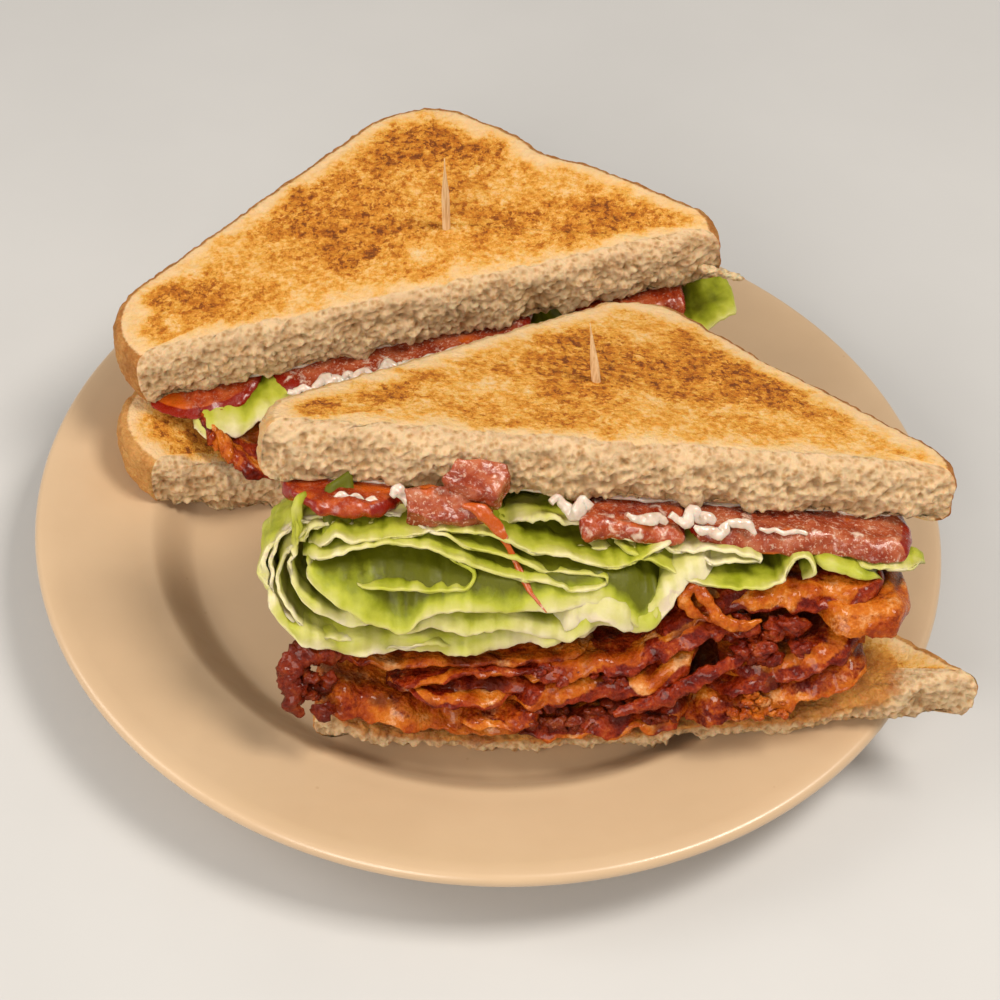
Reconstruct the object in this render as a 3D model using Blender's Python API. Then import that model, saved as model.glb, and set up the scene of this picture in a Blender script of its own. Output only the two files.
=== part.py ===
"""A toasted bacon, lettuce and tomato sandwich, cut corner to corner, on its plate.

Both triangular halves lie on one round plate with their cut faces to the front (-Y).
The origin is the middle of the plate's flat underside. Lengths are in metres, +Z is up.
"""

import math

import bmesh
import bpy
from mathutils import Euler, Matrix, Vector, noise

MM = 0.001

# Plate: a shallow well, a sloping wall and a wide rim with a rounded lip.
PLATE_R = 114.3 * MM
PLATE_RIM_Z = 20.0 * MM
PLATE_LIP = 3.6 * MM
WELL_FLOOR_Z = 6.0 * MM
WELL_FLOOR_R = 75.0 * MM
WELL_EDGE_R = 87.0 * MM
WELL_EDGE_Z = 14.0 * MM
PLATE_BASE_R = 71.0 * MM
PLATE_STEPS = 54

# Bread: one slice is a rounded rectangle, cut along its diagonal.
SLICE_LEFT = 127.0 * MM
SLICE_RIGHT = 109.0 * MM
SLICE_T = 14.0 * MM
CUT = math.hypot(SLICE_LEFT, SLICE_RIGHT)
CUT_REACH = 77.0 * MM
APEX = Vector((SLICE_LEFT ** 2 / CUT - CUT / 2, SLICE_LEFT * SLICE_RIGHT / CUT))
APEX_LEFT = (Vector((-CUT / 2, 0.0)) - APEX).normalized()
APEX_RIGHT = (Vector((CUT / 2, 0.0)) - APEX).normalized()
WAIST_AT = 0.62
CRUST_ROUND = 3.8 * MM
CRUMB_ROUGH = 0.9 * MM

# Gaps between pieces that touch.
CLEAR = 0.3 * MM
REST_CLEAR = 0.5 * MM

PICK_LENGTH = 65.0 * MM
PICK_R = 1.05 * MM

COLOURS = {
    "plate": ((0.78, 0.60, 0.42), 0.28),
    "toast": ((0.76, 0.53, 0.28), 0.85),
    "bacon": ((0.42, 0.09, 0.04), 0.30),
    "lettuce": ((0.58, 0.70, 0.30), 0.42),
    "tomato": ((0.72, 0.16, 0.09), 0.25),
    "mayonnaise": ((0.92, 0.89, 0.82), 0.22),
    "wood": ((0.74, 0.52, 0.28), 0.60),
}


def clear_scene():
    for obj in list(bpy.data.objects):
        bpy.data.objects.remove(obj, do_unlink=True)


def material(kind):
    found = bpy.data.materials.get(kind)
    if found:
        return found
    colour, rough = COLOURS[kind]
    made = bpy.data.materials.new(kind)
    made.use_nodes = True
    shader = made.node_tree.nodes["Principled BSDF"]
    shader.inputs["Base Color"].default_value = (*colour, 1.0)
    shader.inputs["Roughness"].default_value = rough
    shader.inputs["Metallic"].default_value = 0.0
    return made


def add_mesh(name, kind, points, faces, parent=None, sharp_angle=40.0):
    mesh = bpy.data.meshes.new(name)
    mesh.from_pydata([tuple(p) for p in points], [], faces)
    bm = bmesh.new()
    bm.from_mesh(mesh)
    bmesh.ops.recalc_face_normals(bm, faces=bm.faces)
    bmesh.ops.triangulate(bm, faces=bm.faces, quad_method="FIXED")
    bm.to_mesh(mesh)
    bm.free()
    mesh.shade_smooth()
    mesh.set_sharp_from_angle(angle=math.radians(sharp_angle))
    mesh.materials.append(material(kind))
    obj = bpy.data.objects.new(name, mesh)
    bpy.context.scene.collection.objects.link(obj)
    obj.parent = parent
    return obj


def smooth(a, b, x):
    """0 below a, 1 above b, and an even S between them."""
    k = min(1.0, max(0.0, (x - a) / (b - a)))
    return k * k * (3.0 - 2.0 * k)


def mix(a, b, k):
    return a + (b - a) * k


def rough(x, y, z, size):
    """Smooth noise of the given grain size, about -1 to 1."""
    return noise.noise(Vector((x, y, z)) / size)


def plate_profile():
    """Radius and height from the middle of the top, over the lip, to the middle underneath."""
    wall = [(mix(WELL_FLOOR_R, WELL_EDGE_R, k), mix(WELL_FLOOR_Z, WELL_EDGE_Z, smooth(0, 1, k)))
            for k in (0.0, 0.3, 0.5, 0.7, 1.0)]
    lip_mid_r = PLATE_R - PLATE_LIP / 2
    lip_mid_z = PLATE_RIM_Z - PLATE_LIP / 2
    lip = [(lip_mid_r + PLATE_LIP / 2 * math.sin(a), lip_mid_z + PLATE_LIP / 2 * math.cos(a))
           for a in (math.radians(d) for d in (-15, 30, 75, 120, 170))]
    under = [(WELL_EDGE_R + 1.5 * MM, WELL_EDGE_Z - 4.6 * MM), (WELL_FLOOR_R + 5 * MM, 3.4 * MM),
             (PLATE_BASE_R, 0.0)]
    return [(45 * MM, WELL_FLOOR_Z)] + wall + [(100 * MM, 17.2 * MM)] + lip + under + [(40 * MM, 0.0)]


def plate():
    profile = plate_profile()
    points = [(0.0, 0.0, WELL_FLOOR_Z)]
    for r, z in profile:
        for i in range(PLATE_STEPS):
            a = 2 * math.pi * i / PLATE_STEPS
            points.append((r * math.cos(a), r * math.sin(a), z))
    points.append((0.0, 0.0, 0.0))
    last = len(points) - 1
    faces = []
    for i in range(PLATE_STEPS):
        j = (i + 1) % PLATE_STEPS
        faces.append((0, 1 + i, 1 + j))
        faces.append((last, last - PLATE_STEPS + j, last - PLATE_STEPS + i))
        for row in range(len(profile) - 1):
            a = 1 + row * PLATE_STEPS
            b = a + PLATE_STEPS
            faces.append((a + i, b + i, b + j, a + j))
    return add_mesh("plate", "plate", points, faces, sharp_angle=50.0)


def rest_height(r):
    """Height of the underside of bread that sags over the plate at radius r."""
    ramp = smooth(62 * MM, 89 * MM, r)
    on_rim = WELL_EDGE_Z + 0.24 * (r - WELL_EDGE_R)
    return REST_CLEAR + mix(WELL_FLOOR_Z, max(on_rim, WELL_EDGE_Z + 0.3 * MM), ramp)


def slice_outline(shape, cut_points=22, leg_points=7, arc_points=4):
    """Half a slice, counter-clockwise: points (x, y), outward normals, and 1 on crust, 0 on the cut.

    x runs along the cut from its middle, y towards the apex. The crust goes round three circles,
    and the cut, y = 0, crosses the two at its ends.
    """
    r_left, y_left, r_right, y_right, r_apex, waist = (v * MM for v in shape)
    centre_l = Vector((-CUT_REACH + r_left, y_left))
    centre_r = Vector((CUT_REACH - r_right, y_right))
    centre_a = APEX + r_apex * (APEX_LEFT + APEX_RIGHT)

    def leg_normal(start, r_start, stop, r_stop):
        way = stop - start
        return (math.atan2(way.y, way.x) - math.acos((r_start - r_stop) / way.length)) % (2 * math.pi)

    turn_r = leg_normal(centre_r, r_right, centre_a, r_apex)
    turn_l = leg_normal(centre_a, r_apex, centre_l, r_left)
    end_r = -math.asin(y_right / r_right)
    end_l = math.pi + math.asin(y_left / r_left)
    ring = []

    def arc(centre, radius, a0, a1):
        for i in range(arc_points + 1):
            a = mix(a0, a1, i / arc_points)
            normal = Vector((math.cos(a), math.sin(a)))
            ring.append((centre + radius * normal, normal, 1.0))

    def leg(start, r_start, stop, r_stop, angle, dip):
        normal = Vector((math.cos(angle), math.sin(angle)))
        for i in range(1, leg_points):
            k = i / leg_points
            edge = (start + r_start * normal).lerp(stop + r_stop * normal, k)
            ring.append((edge - dip * math.exp(-((k - WAIST_AT) / 0.13) ** 2) * normal, normal, 1.0))

    arc(centre_r, r_right, end_r, turn_r)
    leg(centre_r, r_right, centre_a, r_apex, turn_r, waist)
    arc(centre_a, r_apex, turn_r, turn_l)
    leg(centre_a, r_apex, centre_l, r_left, turn_l, 0.0)
    arc(centre_l, r_left, turn_l, end_l)
    stop = ring[0][0]
    start = ring[-1][0]
    cut = [(start.lerp(stop, i / cut_points), Vector((0.0, -1.0)), 0.0) for i in range(1, cut_points)]
    return cut + ring


def leg_depth(x):
    """Depth of the half slice behind the cut at x, from its two straight legs."""
    if x < APEX.x:
        return APEX.y * (x + CUT / 2) / (APEX.x + CUT / 2)
    return APEX.y * (CUT / 2 - x) / (CUT / 2 - APEX.x)


def bread(name, place, seed, shape, parent):
    """A half slice: crust rounded over its thickness, crumb rough on the cut."""
    ring = slice_outline(shape)
    middle = Vector((6 * MM, 27 * MM))
    levels = ((0.0, CRUST_ROUND), (0.2, 0.8 * MM), (0.5, 0.0), (0.8, 0.8 * MM), (1.0, CRUST_ROUND))
    points = [place(middle.x, middle.y, 0.0)]
    rows = []

    def add_row(make):
        rows.append(len(points))
        for item in ring:
            points.append(make(*item))

    def side(point, normal, crust, k, inset):
        flat = point - normal * inset * mix(0.2, 1.0, crust)
        grain = CRUMB_ROUGH * mix(1.0, 0.55, crust)
        flat = flat + normal * grain * rough(flat.x + seed, flat.y, k * SLICE_T, 3.1 * MM)
        return place(flat.x, flat.y, k)

    for k, inset in ((0.0, 0.34), (0.0, 0.68)):
        add_row(lambda p, n, c, s=inset: place(*(middle.lerp(p, s)), 0.0))
    for k, inset in levels:
        add_row(lambda p, n, c, k=k, i=inset: side(p, n, c, k, i))
    for inset in (0.68, 0.34):
        add_row(lambda p, n, c, s=inset: place(*(middle.lerp(p, s)), 1.0))
    points.append(place(middle.x, middle.y, 1.0))
    count = len(ring)
    faces = []
    for i in range(count):
        j = (i + 1) % count
        faces.append((0, rows[0] + j, rows[0] + i))
        faces.append((len(points) - 1, rows[-1] + i, rows[-1] + j))
        for a, b in zip(rows, rows[1:]):
            faces.append((a + i, a + j, b + j, b + i))
    return add_mesh(name, "toast", points, faces, parent)


class Half:
    """One half sandwich: where its two slices lie, and the space between them."""

    def __init__(self, name, spot, turn, lid_at, lid_turn, base_thick, lid_thick):
        self.name = name
        self.base_thick = base_thick
        self.lid_thick = lid_thick
        self.frame = bpy.data.objects.new(name + "_half", None)
        bpy.context.scene.collection.objects.link(self.frame)
        self.frame.location = (spot[0], spot[1], 0.0)
        self.frame.rotation_euler = (0.0, 0.0, math.radians(turn))
        self.to_plate = Matrix.Translation(self.frame.location) @ Matrix.Rotation(
            math.radians(turn), 4, "Z")
        self.lid_at = Vector(lid_at)
        self.lid_turn = Euler([math.radians(a) for a in lid_turn], "XYZ")
        self.lid_matrix = Matrix.Translation(self.lid_at) @ self.lid_turn.to_matrix().to_4x4()

    def base(self, x, y, k):
        """A point of the bottom slice, which sags over the plate; k is 0 below and 1 on top."""
        spot = self.to_plate @ Vector((x, y, 0.0))
        low = rest_height(math.hypot(spot.x, spot.y))
        return Vector((x, y, low + k * self.base_thick(x, y)))

    def lid(self, x, y, k):
        return self.lid_matrix @ Vector((x, y, (k - 1.0) * self.lid_thick))

    def fill(self, x, y, t):
        """A point of the filling; t runs from the bottom slice, 0, to the top slice, 1."""
        low = self.base(x, y, 1.0) + Vector((0.0, 0.0, 0.8 * MM))
        return low.lerp(self.lid(x, y, 0.0), t)

    def gap(self, x, y):
        return (self.fill(x, y, 1.0) - self.fill(x, y, 0.0)).length

    def below_lid(self, x, y, depth):
        """The level that lies depth below the top slice."""
        return 1.0 - depth / self.gap(x, y)

    def slices(self, seed, base_shape, lid_shape):
        lower = bread(self.name + "_bread_bottom", self.base, seed, base_shape, self.frame)

        def flat(x, y, k):
            return Vector((x, y, (k - 1.0) * self.lid_thick))

        upper = bread(self.name + "_bread_top", flat, seed + 0.31, lid_shape, self.frame)
        upper.location = self.lid_at
        upper.rotation_euler = self.lid_turn
        return lower, upper


def sheet(name, kind, point, thick, columns, rows, parent):
    """A thin closed solid round the surface point(u, v), with both faces split alike."""
    grid = [[point(i / columns, j / rows) for j in range(rows + 1)] for i in range(columns + 1)]
    upper = []
    lower = []
    for i in range(columns + 1):
        for j in range(rows + 1):
            du = grid[min(i + 1, columns)][j] - grid[max(i - 1, 0)][j]
            dv = grid[i][min(j + 1, rows)] - grid[i][max(j - 1, 0)]
            normal = du.cross(dv).normalized()
            edge = 0.45 if i in (0, columns) or j in (0, rows) else 1.0
            upper.append(grid[i][j] + normal * thick * edge / 2)
            lower.append(grid[i][j] - normal * thick * edge / 2)
    shift = len(upper)
    width = rows + 1
    faces = []
    for i in range(columns):
        for j in range(rows):
            a = i * width + j
            b = a + width
            faces += [(a, b, b + 1), (a, b + 1, a + 1)]
            faces += [(shift + a, shift + b + 1, shift + b), (shift + a, shift + a + 1, shift + b + 1)]
    border = [i * width for i in range(columns + 1)]
    border += [columns * width + j for j in range(1, rows + 1)]
    border += [i * width + rows for i in range(columns - 1, -1, -1)]
    border += [j for j in range(rows - 1, 0, -1)]
    for a, b in zip(border, border[1:] + border[:1]):
        faces.append((a, shift + a, shift + b, b))
    return add_mesh(name, kind, upper + lower, faces, parent, sharp_angle=60.0)


def slab(name, kind, half, centre, radii, low, high, front, steps=22, wobble=0.06):
    """A round slice with soft edges, cut off flat at y = front; low and high are levels at (x, y)."""
    ring = []
    for i in range(steps):
        a = 2 * math.pi * i / steps
        size = 1.0 + wobble * rough(math.cos(a) + centre[0] / MM, math.sin(a), 0.0, 0.7)
        x = centre[0] + radii[0] * size * math.cos(a)
        y = max(front, centre[1] + radii[1] * size * math.sin(a))
        ring.append((x, y))
    mid_y = (max(y for x, y in ring) + min(y for x, y in ring)) / 2
    spread = ((0.45, 0.0), (0.9, 0.0), (1.0, 0.28), (1.0, 0.72), (0.9, 1.0), (0.45, 1.0))

    def level(x, y, k):
        return half.fill(x, y, mix(low(x, y), high(x, y), k))

    points = [level(centre[0], mid_y, 0.0)]
    for part, k in spread:
        for x, y in ring:
            points.append(level(mix(centre[0], x, part), mix(mid_y, y, part), k))
    points.append(level(centre[0], mid_y, 1.0))
    last = len(points) - 1
    faces = []
    for i in range(steps):
        j = (i + 1) % steps
        faces.append((0, 1 + j, 1 + i))
        faces.append((last, last - steps + i, last - steps + j))
        for row in range(len(spread) - 1):
            a = 1 + row * steps
            faces.append((a + i, a + j, a + steps + j, a + steps + i))
    return add_mesh(name, kind, points, faces, half.frame)


def strip(half, name, start, stop, level, depth, seed, columns=30, droop=0.0):
    """A crisp rasher: a long strip that buckles between its neighbours."""

    def point(u, v):
        x = mix(start, stop, u)
        bend = 2.5 * MM * rough(x + seed, 0.0, 0.0, 17 * MM)
        y = mix(-6.5 * MM, min(depth, leg_depth(x) - 3 * MM + 14 * MM * smooth(62 * MM, 76 * MM, abs(x))), v)
        y += bend
        ripple = 0.8 * math.sin(2 * math.pi * x / (21 * MM) + seed * 30) * mix(1.0, 0.4, v)
        ripple += 0.7 * rough(x + seed, y, 0.0, 8 * MM)
        sag = droop * smooth(start + 9 * MM, start, x) + 5.0 * MM * smooth(-1 * MM, -8 * MM, y)
        return half.fill(x, y, level(x) + (ripple * MM - sag) / half.gap(x, y))

    return sheet(name, "bacon", point, 2.0 * MM, columns, 4, half.frame)


def shared_wave(x, y):
    """Gentle folds that all the leaves of a stack have in common."""
    return 1.6 * MM * math.sin(x / (11 * MM) + y / (23 * MM)) + 1.2 * MM * rough(x, y, 0.0, 19 * MM)


def ruffle(x, y, seed):
    edge = math.exp(-max(0.0, y + 5 * MM) / (12 * MM))
    return (0.3 + 0.9 * edge) * MM * math.sin(x / (3.9 * MM) + seed)


def folded_leaf(half, name, fold_x, upper_end, lower_end, levels, front, depth, seed, columns):
    """A leaf doubled over, its fold at the left; levels(x, y, side) runs from -1 below to 1."""
    bend = 9 * MM
    upper_run = upper_end - (fold_x + bend)
    lower_run = lower_end - (fold_x + bend)
    turn_run = 26 * MM
    total = upper_run + turn_run + lower_run

    def point(u, v):
        s = u * total
        if s < upper_run:
            x, side = upper_end - s, 1.0
        elif s < upper_run + turn_run:
            a = math.pi * (s - upper_run) / turn_run
            x, side = fold_x + bend - bend * math.sin(a), math.cos(a)
        else:
            x, side = fold_x + bend + (s - upper_run - turn_run), -1.0
        deep = max(20 * MM, min(leg_depth(max(x, -70 * MM)) - 4 * MM, depth))
        y = mix(front, deep, v) + 1.5 * MM * rough(x, seed, side, 9 * MM)
        return half.fill(x, y, levels(x, y, side))

    return sheet(name, "lettuce", point, 1.1 * MM, columns, 5, half.frame)


def flat_leaf(half, name, start, stop, level, front, depth, seed, columns=16):

    def point(u, v):
        x = mix(start, stop, u)
        pinch = 1.0 - 0.75 * smooth(0.7, 1.0, u)
        back = max(12 * MM, min(depth, leg_depth(x) - 4 * MM))
        y = mix(front, front + (back - front) * pinch, v) + 4 * MM * smooth(0.7, 1.0, u)
        lift = shared_wave(x, y) + ruffle(x, y, seed)
        return half.fill(x, y, level(x) + lift * 0.5 / half.gap(x, y))

    return sheet(name, "lettuce", point, 1.1 * MM, columns, 4, half.frame)


def spread_layer(half, name, start, stop, depth):
    """A thin coat on the underside of the top slice."""

    def point(u, v):
        x = mix(start, stop, u)
        deep = min(depth, leg_depth(x) - 5 * MM)
        y = mix(-0.6 * MM, deep, v) + 0.8 * MM * rough(x, v, 0.0, 5 * MM)
        return half.fill(x, y, half.below_lid(x, y, 0.95 * MM))

    return sheet(name, "mayonnaise", point, 0.9 * MM, 16, 3, half.frame)


def toothpick(half, name, x, y, above, lean):
    """A round pick, pointed at both ends, standing in the top slice."""
    sides = 10
    profile = ((0.0, 0.25), (5 * MM, 0.85), (12 * MM, 1.0), (PICK_LENGTH - 16 * MM, 1.0),
               (PICK_LENGTH - 6 * MM, 0.7), (PICK_LENGTH, 0.16))
    points = []
    for z, size in profile:
        for i in range(sides):
            a = 2 * math.pi * i / sides
            points.append((PICK_R * size * math.cos(a), PICK_R * size * math.sin(a), z))
    faces = [tuple(range(sides - 1, -1, -1))]
    for row in range(len(profile) - 1):
        for i in range(sides):
            j = (i + 1) % sides
            a = row * sides
            faces.append((a + i, a + j, a + sides + j, a + sides + i))
    faces.append(tuple(len(points) - sides + i for i in range(sides)))
    pick = add_mesh(name, "wood", points, faces, half.frame)
    top = half.lid(x, y, 1.0)
    pick.rotation_euler = Euler([math.radians(a) for a in lean], "XYZ")
    down = pick.rotation_euler.to_matrix() @ Vector((0.0, 0.0, 1.0))
    pick.location = top - down * (PICK_LENGTH - above)
    return pick


def pierce(half, pick, pieces):
    """Cuts the pick's hole, a little wider than the pick, through the pieces it passes."""
    bm = bmesh.new()
    bmesh.ops.create_cone(bm, cap_ends=True, segments=12, radius1=PICK_R + 1.5 * CLEAR,
                          radius2=PICK_R + 1.5 * CLEAR, depth=PICK_LENGTH + 2 * MM)
    bmesh.ops.translate(bm, verts=bm.verts, vec=(0.0, 0.0, PICK_LENGTH / 2))
    mesh = bpy.data.meshes.new(pick.name + "_hole")
    bm.to_mesh(mesh)
    bm.free()
    hole = bpy.data.objects.new(pick.name + "_hole", mesh)
    bpy.context.scene.collection.objects.link(hole)
    hole.parent = half.frame
    hole.location = pick.location
    hole.rotation_euler = pick.rotation_euler
    hole.hide_render = True
    hole.display_type = "WIRE"
    for piece in pieces:
        cut = piece.modifiers.new("pick_hole", "BOOLEAN")
        cut.operation = "DIFFERENCE"
        cut.object = hole
        cut.solver = "EXACT"


def front_half():
    def thick(x, y):
        at_cut = 5.2 + 3.6 * smooth(-55 * MM, -77 * MM, x) + 9.0 * smooth(30 * MM, 72 * MM, x)
        return mix(at_cut, 13.0, smooth(2 * MM, 26 * MM, y)) * MM

    half = Half("front", (39.0 * MM, -68.0 * MM), 3.9, (-9.8 * MM, 31.6 * MM, 79.2 * MM),
                (-14.8, 3.7, -0.3), thick, SLICE_T)
    upper = half.slices(0.0, (14, 3, 12, -5, 16, 1.4), (16, 4, 16, 3, 16, 1.4))[1]
    pieces = [upper]

    def bacon_top(x):
        rise = 0.12 * smooth(-65 * MM, 0.0, x) + 0.19 * smooth(2 * MM, 20 * MM, x)
        return 0.33 + rise - 0.16 * smooth(48 * MM, 66 * MM, x)

    rashers = ((-82, 8, 0.24, 24, 0.013, 2.0), (-56, 46, 0.44, 30, 0.057, 0.0),
               (-30, 62, 0.65, 46, 0.101, 0.0), (-70, 42, 0.86, 40, 0.143, 0.0),
               (48, 80, 0.86, 20, 0.187, 0.0))
    for n, (start, stop, share, depth, seed, droop) in enumerate(rashers, 1):
        pieces.append(strip(half, "front_bacon_%d" % n, start * MM, stop * MM,
                            lambda x, s=share: bacon_top(x) * s, depth * MM, seed,
                            columns=max(10, (stop - start) // 5), droop=droop * MM))

    def leaf_level(share, x, y):
        depth = 7.8 * MM + 1.8 * MM * smooth(-25 * MM, -9 * MM, x)
        return mix(bacon_top(x) + 0.045, half.below_lid(x, y, depth), share)

    folds = ((-82, 34, 10, 0.97, 0.04, -7.5, 72, 1.0, 34), (-75, 3, -2, 0.77, 0.23, -5.0, 52, 2.3, 26),
             (-66, -4, -16, 0.60, 0.42, -3.0, 40, 4.1, 18))
    for n, (fold, up_end, low_end, up, low, front, depth, seed, columns) in enumerate(folds, 1):

        def levels(x, y, side, up=up, low=low, seed=seed):
            share = mix(low, up, (side + 1) / 2)
            room = leaf_level(1.0, x, y) - leaf_level(0.0, x, y)
            wave = (shared_wave(x, y) * 0.8 + ruffle(x, y, seed)) * min(1.0, room / 0.45)
            share += (1 - (2 * share - 1) ** 4) * wave / (room * half.gap(x, y))
            return leaf_level(share, x, y)

        pieces.append(folded_leaf(half, "front_lettuce_%d" % n, fold * MM, up_end * MM, low_end * MM,
                                  levels, front * MM, depth * MM, seed, columns))
    pieces.append(flat_leaf(half, "front_lettuce_4", 36 * MM, 81 * MM,
                            lambda x: leaf_level(0.45, x, 0.0), -6 * MM, 26 * MM, 0.7, columns=12))

    tomatoes = ((-60, 9, 14, 13, 5.6, 1.9, -2.5), (-35, 5, 8.5, 15, 6.1, 2.9, -8.5),
                (-24, -5.7, 9.5, 4.2, 2.4, -5.5, -10.5), (6, 14, 12, 32, 7.9, 1.9, -3.0),
                (44, 10, 25, 24, 7.9, 1.9, -2.5))
    for n, (x, y, rx, ry, low, high, front) in enumerate(tomatoes, 1):
        pieces.append(slab("front_tomato_%d" % n, "tomato", half, (x * MM, y * MM), (rx * MM, ry * MM),
                           lambda x, y, d=low: half.below_lid(x, y, d * MM),
                           lambda x, y, d=high: half.below_lid(x, y, d * MM), front * MM))
    pieces.append(spread_layer(half, "front_mayonnaise", -66 * MM, 66 * MM, 52 * MM))
    pick = toothpick(half, "front_toothpick", -2 * MM, 30.6 * MM, 17 * MM, (-6.0, -9.0, 0.0))
    pierce(half, pick, pieces)


def back_half():
    half = Half("back", (-18.0 * MM, 14.2 * MM), 15.0, (2.5 * MM, 18.9 * MM, 57.0 * MM),
                (2.4, -7.1, 1.4), lambda x, y: 14.0 * MM, 16.5 * MM)
    lower, upper = half.slices(0.7, (18, 14, 14, 3, 20, 2.0), (20, 12, 15, 4, 24, 2.4))
    pieces = [upper]
    rashers = ((-50, 8, 0.27, 34, 0.231), (-14, 50, 0.45, 52, 0.277))
    for n, (start, stop, level, depth, seed) in enumerate(rashers, 1):
        pieces.append(strip(half, "back_bacon_%d" % n, start * MM, stop * MM,
                            lambda x, s=level: s, depth * MM, seed, columns=14))
    pieces.append(flat_leaf(half, "back_lettuce_1", -46 * MM, 40 * MM, lambda x: 0.62, -4 * MM,
                            74 * MM, 1.9))
    pieces.append(flat_leaf(half, "back_lettuce_2", 52 * MM, 84 * MM, lambda x: 0.55, -5 * MM,
                            26 * MM, 3.3, columns=10))
    tomatoes = ((-56, 8, 12, 11, 4.6, -2.0), (-6, 16, 36, 30, 6.8, -1.5), (54, 6, 16, 17, 7.7, -2.0))
    for n, (x, y, rx, ry, low, front) in enumerate(tomatoes, 1):
        pieces.append(slab("back_tomato_%d" % n, "tomato", half, (x * MM, y * MM), (rx * MM, ry * MM),
                           lambda x, y, d=low: half.below_lid(x, y, d * MM),
                           lambda x, y: half.below_lid(x, y, 1.9 * MM), front * MM))
    pieces.append(spread_layer(half, "back_mayonnaise", -52 * MM, 62 * MM, 50 * MM))
    pick = toothpick(half, "back_toothpick", 11 * MM, 22.8 * MM, 23 * MM, (0.0, -3.0, 0.0))
    pierce(half, pick, [lower] + pieces)


clear_scene()
plate()
front_half()
back_half()
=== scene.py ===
"""The looks of a toasted bacon, lettuce and tomato sandwich on its plate.

Lengths are in millimetres until a mesh is made. The middle of the plate's underside is the origin,
+Z is up, and both cut faces look to -Y. A half sandwich has its own x along the cut and y towards
its apex, and t runs through its filling from the bottom slice, 0, to the top slice, 1.
"""

import math
import random

import bpy
import numpy as np
from mathutils import Euler, Matrix, Vector, noise


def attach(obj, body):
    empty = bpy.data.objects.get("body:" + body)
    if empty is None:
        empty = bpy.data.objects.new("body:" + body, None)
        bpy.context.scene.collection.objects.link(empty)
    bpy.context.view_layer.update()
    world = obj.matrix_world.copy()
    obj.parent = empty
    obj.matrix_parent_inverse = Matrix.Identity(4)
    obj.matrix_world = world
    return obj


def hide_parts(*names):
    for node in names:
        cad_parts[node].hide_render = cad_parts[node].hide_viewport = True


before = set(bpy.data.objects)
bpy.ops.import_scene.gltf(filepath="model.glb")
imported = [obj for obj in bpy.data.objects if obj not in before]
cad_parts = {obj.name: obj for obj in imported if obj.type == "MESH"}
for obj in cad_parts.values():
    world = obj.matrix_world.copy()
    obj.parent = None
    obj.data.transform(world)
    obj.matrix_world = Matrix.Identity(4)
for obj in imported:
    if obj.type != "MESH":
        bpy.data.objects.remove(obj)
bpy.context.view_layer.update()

MM = 0.001

# Plate
PLATE_R = 114.3
PLATE_RIM_Z = 20.0
PLATE_LIP = 3.6
WELL_FLOOR_Z = 6.0
WELL_FLOOR_R = 75.0
WELL_EDGE_R = 87.0
WELL_EDGE_Z = 14.0
PLATE_BASE_R = 71.0
PLATE_STEPS = 288

# Bread
SLICE_LEFT = 127.0
SLICE_RIGHT = 109.0
CUT = math.hypot(SLICE_LEFT, SLICE_RIGHT)
CUT_REACH = 77.0
APEX = np.array((SLICE_LEFT ** 2 / CUT - CUT / 2, SLICE_LEFT * SLICE_RIGHT / CUT))
WAIST_AT = 0.62
CRUST_ROUND = 3.8
SLICE_MIDDLE = np.array((6.0, 27.0))
REST_CLEAR = 0.5
FILL_HEIGHT = 43.0  # of the front filling, where t is 1
ROUND_SIDES = 18  # of crumbs and strands
CRUMB_LAYERS = dict(cut=1, crust=0, inner=0, bake=0, oil=0, pit=0)
RASHER_THICK = 1.3
EDGE_TAPER = 5.0  # of the ends of a leaf's or rasher's front edge
PICK_LENGTH = 65.0
PICK_RADIUS = 1.05

# Camera, from the photograph
CAMERA_AT = Vector((2.10, -390.89, 438.36))
CAMERA_LOOK = Vector((0.0, 0.68280, -0.73061))
CAMERA_RIGHT = Vector((0.99764, 0.05019, 0.04691))
CAMERA_LENS = 81.22


def smooth(a, b, x):
    """0 below a, 1 above b, and an even S between them."""
    k = np.clip((np.asarray(x, float) - a) / (b - a), 0, 1)
    return k * k * (3 - 2 * k)


def mix(a, b, k):
    return a + (b - a) * k


def grain(points, size, seed=0):
    """Smooth noise at each point, about -1 to 1, of a grain size in millimetres."""
    spots = np.asarray(points, float) / size + seed * 3.7
    return np.array([noise.noise(p) for p in spots.reshape(-1, 3).tolist()]).reshape(spots.shape[:-1])


def cells(points, size, seed=0):
    """Distance from each point to the nearest cell's middle, as a share of the cell size."""
    spots = np.asarray(points, float) / size + seed * 3.7
    return np.array([noise.voronoi(p)[0][0] for p in spots.reshape(-1, 3).tolist()]).reshape(
        spots.shape[:-1])


def xyz(x, y, z):
    return np.stack(np.broadcast_arrays(np.asarray(x, float), y, z), axis=-1)


def grid_faces(rows, columns, wrap=False):
    """The quads between the points of a grid, kept row by row."""
    i = np.arange(rows - 1)[:, None] * columns
    j = np.arange(columns if wrap else columns - 1)[None, :]
    k = (j + 1) % columns
    return np.stack([i + j, i + k, i + columns + k, i + columns + j], axis=-1).reshape(-1, 4)


def vertex_normals(points, faces):
    a, b, c, d = (points[faces[:, n]] for n in range(4))
    across = np.cross(c - a, d - b)
    total = np.zeros_like(points)
    for n in range(4):
        np.add.at(total, faces[:, n], across)
    return total / np.maximum(np.linalg.norm(total, axis=1), 1e-12)[:, None]


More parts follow.
